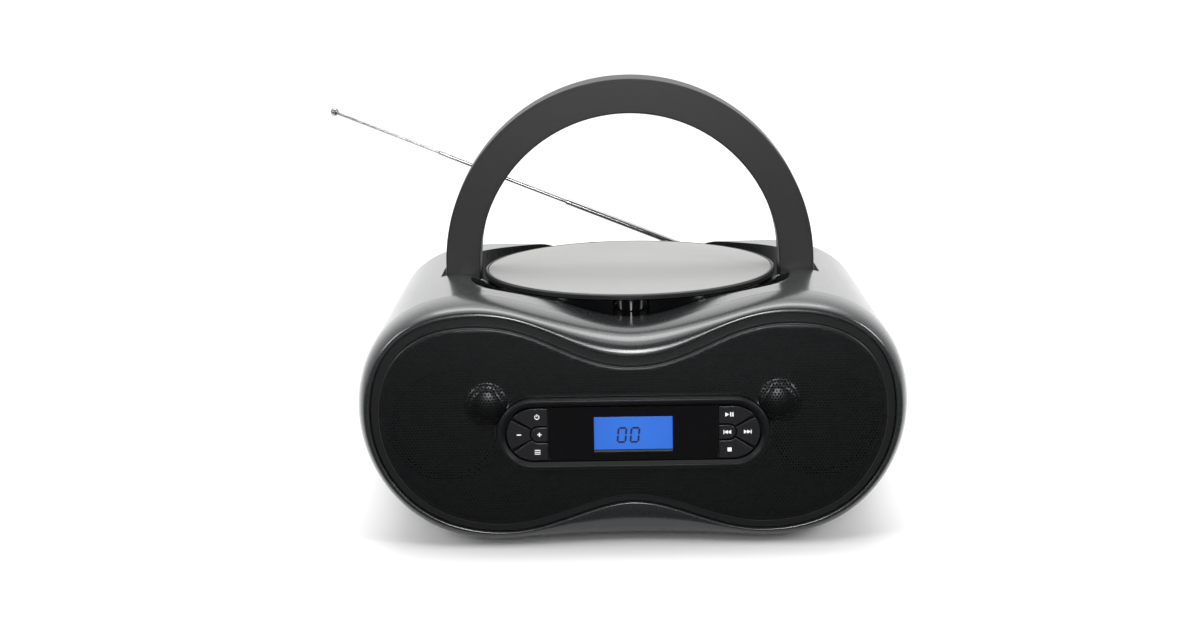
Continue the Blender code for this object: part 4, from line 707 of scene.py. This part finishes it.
# ---- Keys ----------------------------------------------------------------------------------
def key_outlines():
    outer = PANEL_HALF[1] - PANEL_RIM - KEY_GAP
    inner = KEY_MIDDLE + KEY_GAP
    window = WINDOW_HALF + FIT + KEY_GAP
    nub = window + KEY_MIDDLE_LENGTH - KEY_MIDDLE
    end = PANEL_HALF[0] - PANEL_HALF[1]
    part = 38
    spread = math.degrees(KEY_GAP / (outer * 0.8))
    top = [(window, inner), (window, outer)] + arc((end, 0), outer, 90, part + spread, 12)
    top += arc((nub, 0), inner, part + spread, 90, 8)
    outer_arc = arc((end, 0), outer, part - spread, spread - part, 16)
    outer_arc += arc((nub, 0), inner, spread - part, part - spread, 12)
    middle = [(window, -KEY_MIDDLE)] + arc((nub, 0), KEY_MIDDLE, -90, 90, 16)
    middle.append((window, KEY_MIDDLE))
    return {"upper": top, "outer": outer_arc, "inner": middle, "lower": [(x, -z) for x, z in top]}


KEYS = {
    "power_function_key": (-1, "upper", "power"), "volume_down_key": (-1, "outer", "minus"),
    "volume_up_key": (-1, "inner", "plus"), "mode_key": (-1, "lower", "bars"),
    "play_pause_key": (1, "upper", "play"), "previous_key": (1, "inner", "back"),
    "next_key": (1, "outer", "next"), "stop_key": (1, "lower", "stop"),
}
MARK_PLACES = {"upper": (0.0489, 0.0092), "lower": (0.0489, -0.0092), "inner": (0.0478, 0.0),
               "outer": (0.0582, 0.0)}
MARK_SCALE = 0.00122


def bar(x0, z0, x1, z1):
    return [(x0, z0), (x1, z0), (x1, z1), (x0, z1)]


def mark_shapes(kind):
    """Convex loops of a key's generic sign, in millimetres about its middle."""
    if kind == "minus":
        return [bar(-0.9, -0.22, 0.9, 0.22)]
    if kind == "plus":
        return [bar(-0.9, -0.2, 0.9, 0.2), bar(-0.2, 0.2, 0.2, 0.9), bar(-0.2, -0.9, 0.2, -0.2)]
    if kind == "bars":
        return [bar(-1.2, z - 0.16, 1.2, z + 0.16) for z in (-0.8, 0.0, 0.8)]
    if kind == "stop":
        return [bar(-0.85, -0.85, 0.85, 0.85)]
    if kind == "play":
        return [[(-1.7, -0.9), (-0.1, 0), (-1.7, 0.9)], bar(0.3, -0.9, 0.8, 0.9),
                bar(1.2, -0.9, 1.7, 0.9)]
    if kind == "next":
        return [[(-1.6, -0.85), (-0.2, 0), (-1.6, 0.85)], [(-0.2, -0.85), (1.2, 0), (-0.2, 0.85)],
                bar(1.25, -0.85, 1.6, 0.85)]
    if kind == "back":
        return [[(-x, z) for x, z in reversed(loop)] for loop in mark_shapes("next")]
    shapes = []
    for step in range(20):
        start, end = [math.radians(125 + 290 * (step + k) / 20) for k in (0, 1)]
        shapes.append([(1.05 * math.cos(start), 1.05 * math.sin(start)),
                       (1.05 * math.cos(end), 1.05 * math.sin(end)),
                       (0.75 * math.cos(end), 0.75 * math.sin(end)),
                       (0.75 * math.cos(start), 0.75 * math.sin(start))])
    return shapes + [bar(-0.16, 0.15, 0.16, 1.25)]


def make_keys():
    loops = key_outlines()
    for name, (side, place, kind) in KEYS.items():
        body = frame["nodes"][name]["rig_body"]
        loop = [(side * x, z) for x, z in loops[place]]
        back = KEY_FACE + KEY_THICK
        cap = plate(f"{name}_cap", loop, y_at(KEY_FACE), y_at(back), "Y", (0, 0, PANEL_Z))
        soften(cap, 0.00045, 4)
        x, z = STEM_PLACES[place]
        stem = cylinder(f"{name}_stem", 0.0015, (side * x, y_at(back - FIT), PANEL_Z + z),
                        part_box(name)[1].y - y_at(back - FIT), "Y", 20)
        join(cap, stem)
        piece(cap, KEY, body, "key", name, angle=45)
        mx, mz = MARK_PLACES[place]
        points, faces = [], []
        for shape in mark_shapes(kind):
            loop = [(side * mx + u * MARK_SCALE, PANEL_Z + mz + w * MARK_SCALE) for u, w in shape]
            add_prism(points, faces, loop, KEY_FACE - 0.00006, KEY_FACE + 0.00008)
        sign = draft(f"{name}_mark", mesh_of(points, faces, f"{name}_mark"))
        piece(sign, MARK, body, "white")


# ---- Cabinet and rear cover ----------------------------------------------------------------
def recess(name, grow):
    drum = DRUM_RADIUS + 0.001 + grow
    trench = TRENCH_RADIUS + grow
    front = SLOT_FRONT_Y - grow
    turn = math.degrees(math.asin((DECK_Y - front) / drum))
    points = [(trench, front)] + arc((0, TRENCH_Y), trench, 0, 180, 96) + [(-trench, front)]
    points += arc((0, DECK_Y), drum, 180 + turn, 360 - turn, 96)
    return plate(name, points, RECESS_FLOOR - grow, 0.25, "Z")


def room(name, grow, bottom):
    front, back = (y_at(depth) for depth in ROOM_DEPTHS)
    return box(name, (-ROOM_HALF - grow, front - grow, bottom),
               (ROOM_HALF + grow, back + grow, ROOM_TOP + grow))


def make_cabinet():
    front = BEZEL_DEPTH + SEAM
    depths = [front + (COVER_DEPTH - front) * step / 24 for step in range(25)]
    obj = loft("cabinet_casing", [at_depth(body_loop(depth), depth) for depth in depths])
    inner = [at_depth(offset(body_loop(d), -WALL), d)
             for d in (depths[0] - WALL, depths[12], depths[-1] + WALL)]
    hollow = loft("hollow", inner)
    cut(hollow, recess("recess_walls", WALL - 0.0003), room("room_walls", WALL, -WALL))
    bottom, reach = DRUM_TOP - 0.0012, DRUM_RADIUS + 0.0015
    dish = turned("dish", [(0, bottom + 0.02), (reach + 0.064, bottom + 0.02), (reach, bottom),
                           (0, bottom)], (0, DECK_Y, 0), "Z", 160)
    floor_hole = cylinder("floor_hole", 0.073, (0, DECK_Y, RECESS_FLOOR - 2 * WALL), 3 * WALL,
                          "Z", 96)
    pivots = []
    for side in (-1, 1):
        x = side * TRENCH_RADIUS if side > 0 else side * TRENCH_RADIUS - WALL - 0.002
        pivots.append(cylinder(f"pivot_{side}", PIVOT_BORE, (x - 0.001 * side, DECK_Y, PIVOT_Z),
                               WALL + 0.002, "X", 32))
    cut(obj, hollow, recess("trench", 0), room("room_space", 0, -WALL), dish, floor_hole,
        *pivots)
    for x in (-0.049, 0.049):
        for depth in (0.066, 0.128):
            join(obj, cylinder(f"post_{x}_{depth}", 0.003, (x, y_at(depth), WALL / 2), 0.04245,
                               "Z", 16))
    for x, z in SCREWS:
        start = (x, y_at(COVER_DEPTH - 0.020), z)
        join(obj, cylinder(f"screw_post_{x}_{z}", 0.005, start, 0.020 - FIT, "Y", 24))
        cut(obj, cylinder(f"screw_bore_{x}_{z}", 0.0017, (x, start[1] + 0.004, z), 0.03, "Y", 16))
    piece(obj, CHARCOAL, "cabinet", "charcoal", "cabinet_shell", angle=30)

    rings, inner = [], []
    start = COVER_DEPTH + SEAM
    flat = BODY_DEPTH - REAR_ROUNDING
    rings.append(at_depth(body_loop(start), start))
    inner.append(at_depth(offset(body_loop(start), -WALL), start - WALL))
    for degrees in range(0, 91, 10):
        angle = math.radians(degrees)
        depth = flat + REAR_ROUNDING * math.sin(angle)
        tuck = REAR_ROUNDING * (1 - math.cos(angle))
        rings.append(at_depth(offset(body_loop(depth), -tuck), depth))
        inner.append(at_depth(offset(body_loop(depth), -tuck * 0.7 - WALL),
                              flat + (REAR_ROUNDING - WALL) * math.sin(angle)))
    cover = loft("cover_casing", rings)
    hollow = cut(loft("cover_hollow", inner), recess("cover_walls", WALL - 0.0003))
    cut(cover, hollow, recess("cover_trench", 0))
    for x, z in SCREWS:
        low = COVER_DEPTH + SEAM + FIT
        join(cover, cylinder(f"boss_{x}_{z}", 0.0058, (x, y_at(low), z),
                             BODY_DEPTH - WALL / 2 - low, "Y", 32))
        cut(cover, cylinder(f"head_{x}_{z}", 0.0039, (x, y_at(BODY_DEPTH - HEAD_SINK), z), 0.01,
                            "Y", 40),
            cylinder(f"shank_{x}_{z}", 0.0019, (x, y_at(low - 0.01), z), 0.03, "Y", 24))
    cut(cover, box("inlet_hole", (-0.09625, y_at(COVER_DEPTH), 0.03475),
                   (-0.07975, y_at(BODY_DEPTH + WALL), 0.04525)))
    px, py, pz = ANTENNA_PIVOT
    top = pz - POST_DROP
    post = cylinder("antenna_post", 0.0072, (px, py, top - 0.011), 0.011, "Z", 48)
    bridge = box("bridge", (px - 0.006, y_at(BODY_DEPTH - WALL / 2), top - 0.0105),
                 (px + 0.006, py - 0.002, top - 0.0005))
    join(cover, bridge, post)
    cut(cover, cylinder("post_bore", 0.003, (px, py, top - 0.008), 0.02, "Z", 32))
    piece(cover, CHARCOAL, "cabinet", "charcoal", "rear_cover", angle=30)


def make_rear_screws():
    names = ("upper_left", "upper_right", "lower_left", "lower_right")
    for word, (x, z) in zip(names, SCREWS):
        head, tip = BODY_DEPTH - HEAD_SINK + FIT, COVER_DEPTH - 0.012
        profile = [(0, head + 0.0022), (0.0012, head + 0.0022), (0.0024, head + 0.0019),
                   (0.0031, head + 0.0013), (0.0034, head + 0.0007), (0.0034, head),
                   (0.0015, head)]
        for turn in range(10):
            at = head - 0.0015 - turn * 0.0013
            profile += [(0.0015, at), (0.00125, at - 0.0006)]
        profile += [(0.0011, tip + 0.0012), (0, tip)]
        screw = turned(f"screw_{word}", profile, (x, y_at(0), z), "Y", 40)
        slots = [box(f"slot_{word}_{mark}", (x - across, y_at(head + 0.0009), z - tall),
                     (x + across, y_at(head + 0.004), z + tall))
                 for mark, across, tall in (("a", 0.0017, 0.0003), ("b", 0.0003, 0.0017))]
        cut(screw, *slots)
        piece(screw, STEEL, "cabinet", "steel", f"rear_screw_{word}")


# ---- Deck and lid --------------------------------------------------------------------------
def ear_outline():
    front = DECK_Y + math.sqrt(DRUM_RADIUS**2 - 0.018**2) - 0.0004
    points = [(front, DRUM_BOTTOM + 0.0002), (HINGE[0] + HINGE_EYE, DRUM_BOTTOM + 0.0002)]
    return points + arc(HINGE, HINGE_EYE, 0, 160, 20) + [(front, HINGE[1] - HINGE_EYE)]


def arm_outline():
    rim = DECK_Y + LID_RADIUS
    top = LID_TOP - 0.0016
    points = [(rim - 0.006, top), (rim - 0.006, LID_BOTTOM + 0.0004),
              (rim + 0.0008, LID_BOTTOM + 0.0004)]
    points += arc(HINGE, HINGE_EYE, 170, 360, 24)
    return points + [(HINGE[0] + HINGE_EYE, HINGE[1] + 0.002), (rim + 0.006, top)]


def rounded(profile, radius, count=3):
    """The corners of a profile replaced by short curves. The profile is closed."""
    made = []
    for index, here in enumerate(profile):
        before, after = Vector(profile[index - 1]), Vector(profile[(index + 1) % len(profile)])
        corner = Vector(here)
        reach = min(radius, (before - corner).length * 0.4, (after - corner).length * 0.4)
        if here[0] <= 1e-6:
            made.append(here)
            continue
        first = corner + (before - corner).normalized() * reach
        last = corner + (after - corner).normalized() * reach
        for step in range(count + 1):
            share = step / count
            point = first.lerp(corner, share).lerp(corner.lerp(last, share), share)
            made.append((point.x, point.y))
    return made


def make_deck():
    inner = DRUM_RADIUS - 0.0018
    under = WELL_FLOOR - 0.0018
    profile = [(DRUM_RADIUS, DRUM_TOP), (DRUM_RADIUS, DRUM_BOTTOM), (inner, DRUM_BOTTOM),
               (inner, LEDGE_TOP - 0.0018), (WELL_RADIUS + 0.0018, LEDGE_TOP - 0.0018),
               (WELL_RADIUS + 0.0018, under), (0.017, under), (0.017, WELL_FLOOR),
               (WELL_RADIUS, WELL_FLOOR), (WELL_RADIUS, LEDGE_TOP), (inner, LEDGE_TOP),
               (inner, DRUM_TOP)]
    obj = turned("well_body", rounded(profile, 0.0004), (0, DECK_Y, 0), "Z", 192)
    backing = box("backing", (-0.014, DECK_Y - DRUM_RADIUS + 0.0015, DRUM_TOP - 0.0107),
                  (0.014, DECK_Y - WELL_RADIUS - 0.0005, LEDGE_TOP - 0.0002))
    join(obj, backing)
    scoop = cylinder("scoop", 0.011, (0, DECK_Y - DRUM_RADIUS - 0.0045, DRUM_TOP - 0.0087), 0.012,
                     "Z", 64)
    slot = box("laser_slot", (0, DECK_Y - 0.008, under - WALL),
               (0.062, DECK_Y + 0.008, WELL_FLOOR + WALL))
    cut(obj, scoop, slot)
    for side in (-1, 1):
        low, high = sorted((side * 0.014, side * 0.018))
        join(obj, plate(f"ear_{side}", ear_outline(), low, high, "X"))
        cut(obj, cylinder(f"ear_bore_{side}", HINGE_BORE, (low - WALL, *HINGE), 0.009, "X", 24))
    piece(obj, GLOSS, "cabinet", "gloss", "cd_well", angle=30)

    plate_r = LID_RADIUS - 0.0016
    low = LID_TOP - 0.0009
    profile = [(0, low), (plate_r + FIT, low), (plate_r + FIT, LID_TOP - 0.0001),
               (plate_r + 0.0005, LID_TOP), (LID_RADIUS - 0.0007, LID_TOP - 0.0001),
               (LID_RADIUS - 0.0003, LID_TOP - 0.0004), (LID_RADIUS, LID_TOP - 0.0008),
               (LID_RADIUS - 0.0001, LID_TOP - 0.0017), (LID_RADIUS - 0.0004, LID_BOTTOM + 0.0003),
               (LID_RADIUS - 0.0010, LID_BOTTOM), (0, LID_BOTTOM)]
    rim = turned("lid_rim", profile, (0, DECK_Y, 0), "Z", 192)
    for side in (-1, 1):
        low_x, high_x = sorted((side * 0.019, side * 0.023))
        join(rim, plate(f"arm_{side}", arm_outline(), low_x, high_x, "X"))
        cut(rim, cylinder(f"arm_bore_{side}", HINGE_BORE, (low_x - 0.0005, *HINGE), 0.005, "X", 24))
    piece(rim, LID_EDGE, "lid", "black", "lid_frame", angle=30)
    top = [(0, LID_TOP), (plate_r - 0.0010, LID_TOP - 0.00001), (plate_r - 0.0005, LID_TOP - 0.0001),
           (plate_r - 0.0001, LID_TOP - 0.0003), (plate_r, LID_TOP - 0.0006), (0, LID_TOP - 0.0006)]
    disc = turned("lid_top", top, (0, DECK_Y, 0), "Z", 192)
    piece(disc, LID, "lid", "lid", "lid_plate", angle=50)


# ---- Handle --------------------------------------------------------------------------------
def make_handle():
    arch = [(HANDLE_OUTER, PIVOT_Z)] + arc((0, ARCH_Z), HANDLE_OUTER, 0, 180, 128)
    arch += [(-HANDLE_OUTER, PIVOT_Z), (-HANDLE_INNER, PIVOT_Z)]
    arch += arc((0, ARCH_Z), HANDLE_INNER, 180, 0, 128) + [(HANDLE_INNER, PIVOT_Z)]
    obj = plate("carrying_handle", arch, DECK_Y - HANDLE_HALF, DECK_Y + HANDLE_HALF, "Y")
    soften(obj, 0.0010, 4, 60)
    for side in (-1, 1):
        start = side * HANDLE_INNER + 0.0008 if side > 0 else -HANDLE_OUTER + 0.0008
        eye = cylinder(f"eye_{side}", HANDLE_HALF, (start, DECK_Y, PIVOT_Z), 0.0174, "X", 64)
        soften(eye, 0.0010, 3)
        join(obj, eye)
        x = HANDLE_OUTER - 0.012 if side > 0 else -HANDLE_OUTER - WALL
        cut(obj, cylinder(f"handle_bore_{side}", PIVOT_BORE, (x, DECK_Y, PIVOT_Z), 0.0145, "X", 32))
    piece(obj, HANDLE, "handle", "handle", "handle", angle=30)


# ---- Antenna -------------------------------------------------------------------------------
def make_antenna():
    pivot = Vector(ANTENNA_PIVOT)
    lean = Matrix.Rotation(ANTENNA_TILT - math.pi / 2, 4, "Y")
    place = Matrix.Translation(pivot) @ lean
    radii = (0.0019, 0.0014, 0.00095)
    ends = (0.0816, 0.1634, 0.2280)
    starts = (0.0045, 0.0741, 0.1525)
    names = ("antenna_base_tube", "antenna_middle_tube", "antenna_tip_rod")
    bodies = ("antenna_base", "antenna_middle", "antenna_tip")
    for index, (name, body) in enumerate(zip(names, bodies)):
        radius, start, end = radii[index], starts[index], ends[index]
        if index < 2:
            bore = radii[index + 1] + 0.00015
            floor = start + (0.001 if index else 0.0015)
            profile = [(0, floor), (bore, floor), (bore, end - 0.0001), (bore + 0.0001, end),
                       (radius - 0.0002, end), (radius - 0.00005, end - 0.0002), (radius, end - 0.0006),
                       (radius, end - 0.0030), (radius - 0.00012, end - 0.0031),
                       (radius - 0.00012, end - 0.0036), (radius, end - 0.0037),
                       (radius, start), (0, start)]
        else:
            ball = 0.0025
            profile = [(0, end + 2 * ball - 0.0005)]
            profile += [(ball * math.sin(math.radians(a)),
                         end + ball - 0.0005 + ball * math.cos(math.radians(a)))
                        for a in range(15, 156, 14)]
            profile += [(radius, end - 0.0004), (radius, start), (0, start)]
        tube = turned(f"{name}_shell", profile, (0, 0, 0), "Z", 48)
        tube.data.transform(place)
        if index == 0:
            tang = [(-0.0030, 0.0)] + arc((0, 0), 0.0030, 180, 360, 24)
            tang += [(radii[0], 0.0055), (-radii[0], 0.0055)]
            tongue = plate("tang", tang, -0.0014, 0.0014, "Y")
            tongue.data.transform(place)
            join(tube, tongue)
            cut(tube, cylinder("tang_bore", 0.0013, (pivot.x, pivot.y - 0.003, pivot.z), 0.006,
                               "Y", 24))
        piece(tube, CHROME, body, "chrome", name)

    low = pivot.z - 0.0132
    profile = [(0, low + 0.0048), (0.0048, low + 0.0048), (0.0055, low + 0.0045),
               (0.0060, low + 0.0038), (0.0060, low + 0.0004), (0.0057, low), (0.0026, low),
               (0.0026, low - 0.0070), (0, low - 0.0070)]
    swivel = turned("swivel_body", profile, (pivot.x, pivot.y, 0), "Z", 64)
    ear = [(-0.0036, low + 0.0040 - pivot.z), (0.0036, low + 0.0040 - pivot.z)]
    ear += arc((0, 0), 0.0036, 0, 180, 32)
    for side in (-1, 1):
        near, far = sorted((side * 0.0016, side * 0.0032))
        wing = plate(f"wing_{side}", ear, near, far, "Y", tuple(pivot))
        soften(wing, 0.0003, 2)
        join(swivel, wing)
    join(swivel, cylinder("cross_pin", 0.0011, (pivot.x, pivot.y - 0.0026, pivot.z), 0.0052,
                          "Y", 24))
    piece(swivel, BLACK, "antenna_swivel", "black", "antenna_swivel")


# ---- Underneath ----------------------------------------------------------------------------
def make_battery_door():
    low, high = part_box("battery_door")
    door = box("door_panel", (low.x, low.y, 0), (high.x, high.y, 0.0022))
    soften(door, 0.0003, 2)
    join(door, box("door_catch", (-0.008, low.y + 0.0015, 0.002), (0.008, low.y + 0.003, 0.008)))
    grooves = [box(f"groove_{step}", (-0.011, low.y + 0.006 + step * 0.0016, -0.001),
                   (0.011, low.y + 0.0068 + step * 0.0016, 0.0005)) for step in range(5)]
    cut(door, *grooves)
    piece(door, BATTERY, "battery_door", "charcoal", "battery_door")


def make_feet():
    for node in ("foot_front_left", "foot_front_right", "foot_rear_left", "foot_rear_right"):
        low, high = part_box(node)
        centre = (low + high) / 2
        radius = (high.x - low.x) / 2
        profile = [(0, high.z), (radius, high.z), (radius, high.z - 0.0004),
                   (radius * 0.95, low.z + 0.0005), (radius * 0.88, low.z), (radius * 0.60, low.z),
                   (radius * 0.56, low.z + 0.0004), (0, low.z + 0.0004)]
        foot = turned(f"{node}_pad", profile, (centre.x, centre.y, 0), "Z", 48)
        piece(foot, RUBBER, "cabinet", "rubber", node)


# ---- Nodes that stay as they are -----------------------------------------------------------
KEPT = {
    "key_board": BOARD, "main_board": BOARD, "speaker_frame": PAINTED, "speaker_magnet": STEEL,
    "speaker_cone": PAPER, "lid_hinge_pin": STEEL, "deck_chassis": BLACK, "guide_rod": STEEL,
    "laser_sled": WHITE, "laser_lens": LENS, "sled_gear": WHITE, "sled_motor": STEEL,
    "spindle_motor": STEEL, "turntable_hub": GLOSS, "deck_damper": RUBBER, "handle_pivot_pin": STEEL,
    "mains_transformer": PAINTED, "mains_inlet": BLACK, "battery_contact": COPPER,
}


def dress_nodes():
    for name, node in frame["nodes"].items():
        finish = next((kind for start, kind in KEPT.items() if name.startswith(start)), BLACK)
        node.data.materials.clear()
        node.data.materials.append(finish)
        node.data.shade_smooth()
        node.data.set_sharp_from_angle(angle=math.radians(30))


# ---- Studio --------------------------------------------------------------------------------
def area(name, place, target, size, power):
    light = bpy.data.lights.new(name, "AREA")
    light.shape = "RECTANGLE"
    light.size, light.size_y = size
    light.energy = power
    obj = bpy.data.objects.new(name, light)
    obj.location = place
    obj.rotation_euler = (Vector(target) - Vector(place)).to_track_quat("-Z", "Y").to_euler()
    bpy.context.scene.collection.objects.link(obj)


def make_studio():
    rings = [[(radius * math.cos(math.radians(5 * i)), radius * math.sin(math.radians(5 * i)),
               FLOOR_Z) for i in range(72)] for radius in (0.0, 0.5, 1.2, 3.0, 8.0, 20.0)]
    floor = loft("studio_floor", rings, capped=False)
    helpers.remove(floor)
    floor.data.materials.append(surface("floor_paper", (0.93, 0.93, 0.93), 0.6, specular=0.2, grain=60,
                                        bump=0.02, shade=0.01))

    # The world is dark in front of the object and bright behind it.
    world = bpy.data.worlds.new("studio")
    bpy.context.scene.world = world
    world.use_nodes = True
    tree = world.node_tree
    background = tree.nodes["Background"]
    way = add_node(tree, "ShaderNodeTexCoord")
    split = add_node(tree, "ShaderNodeSeparateXYZ")
    tree.links.new(way.outputs["Generated"], split.inputs["Vector"])
    depth = add_node(tree, "ShaderNodeMapRange",
                     {"From Min": -0.75, "From Max": -0.05, "To Min": 0.06, "To Max": 1.10})
    depth.interpolation_type = "SMOOTHSTEP"
    tree.links.new(split.outputs["Y"], depth.inputs["Value"])
    tree.links.new(depth.outputs["Result"], background.inputs["Strength"])
    background.inputs["Color"].default_value = (1, 1, 1, 1)

    sky = bpy.data.lights.new("ceiling", "SUN")
    sky.energy = 1.1
    sky.angle = math.radians(70)
    ceiling = bpy.data.objects.new("ceiling", sky)
    ceiling.rotation_euler = (math.radians(-8), 0, 0)
    bpy.context.scene.collection.objects.link(ceiling)
    area("overhead", (0.0, 0.25, 1.4), (0, 0, 0.1), (1.2, 0.6), 9)
    area("front_box", (0.0, -1.45, 0.40), (0, 0, 0.1), (0.16, 0.50), 7)
    area("left_box", (-1.2, -0.9, 0.85), (0, -0.1, 0.07), (0.25, 0.6), 6)
    area("right_box", (1.2, -0.9, 0.85), (0, -0.1, 0.07), (0.25, 0.6), 8)

    # A dark card on the floor in front, which only reflections see.
    outline = [(-2, -3.5), (2, -3.5), (2, -0.125), (-2, -0.125)]
    card = plate("dark_card", outline, FLOOR_Z + 0.0005, FLOOR_Z + 0.001, "Z")
    helpers.remove(card)
    card.data.materials.append(surface("card", (0.01, 0.01, 0.01), 0.9, specular=0.1, grain=60))
    card.visible_camera = card.visible_diffuse = card.visible_shadow = False


CAMERA_ANGLES = (11.94, -0.41, -0.95)
CAMERA_PLACE = (-0.00638, -1.318, 0.37423)
FOCAL_PIXELS = 2431.22
IMAGE_WIDTH = 1204
SENSOR_WIDTH = 36


def make_camera():
    """The camera fitted to the photograph: pitch down, yaw and roll in degrees."""
    pitch, yaw, roll = (math.radians(angle) for angle in CAMERA_ANGLES)
    forward = Vector((math.sin(yaw) * math.cos(pitch), math.cos(yaw) * math.cos(pitch),
                      -math.sin(pitch)))
    right = Vector((math.cos(yaw), -math.sin(yaw), 0))
    up = right.cross(forward)
    rolled_right = right * math.cos(roll) + up * math.sin(roll)
    rolled_up = -right * math.sin(roll) + up * math.cos(roll)
    data = bpy.data.cameras.new("camera")
    data.sensor_width = SENSOR_WIDTH
    data.sensor_fit = "HORIZONTAL"
    data.lens = FOCAL_PIXELS / IMAGE_WIDTH * SENSOR_WIDTH
    data.clip_start = 0.01
    camera = bpy.data.objects.new("camera", data)
    turn = Matrix((rolled_right, rolled_up, -forward)).transposed().to_4x4()
    camera.matrix_world = Matrix.Translation(CAMERA_PLACE) @ turn
    bpy.context.scene.collection.objects.link(camera)
    bpy.context.scene.camera = camera


dress_nodes()
make_bezel()
make_grille()
make_panel()
make_keys()
make_cabinet()
make_rear_screws()
make_deck()
make_handle()
make_antenna()
make_battery_door()
make_feet()
clear_helpers()
make_studio()
make_camera()
bpy.context.scene.view_settings.view_transform = "Standard"
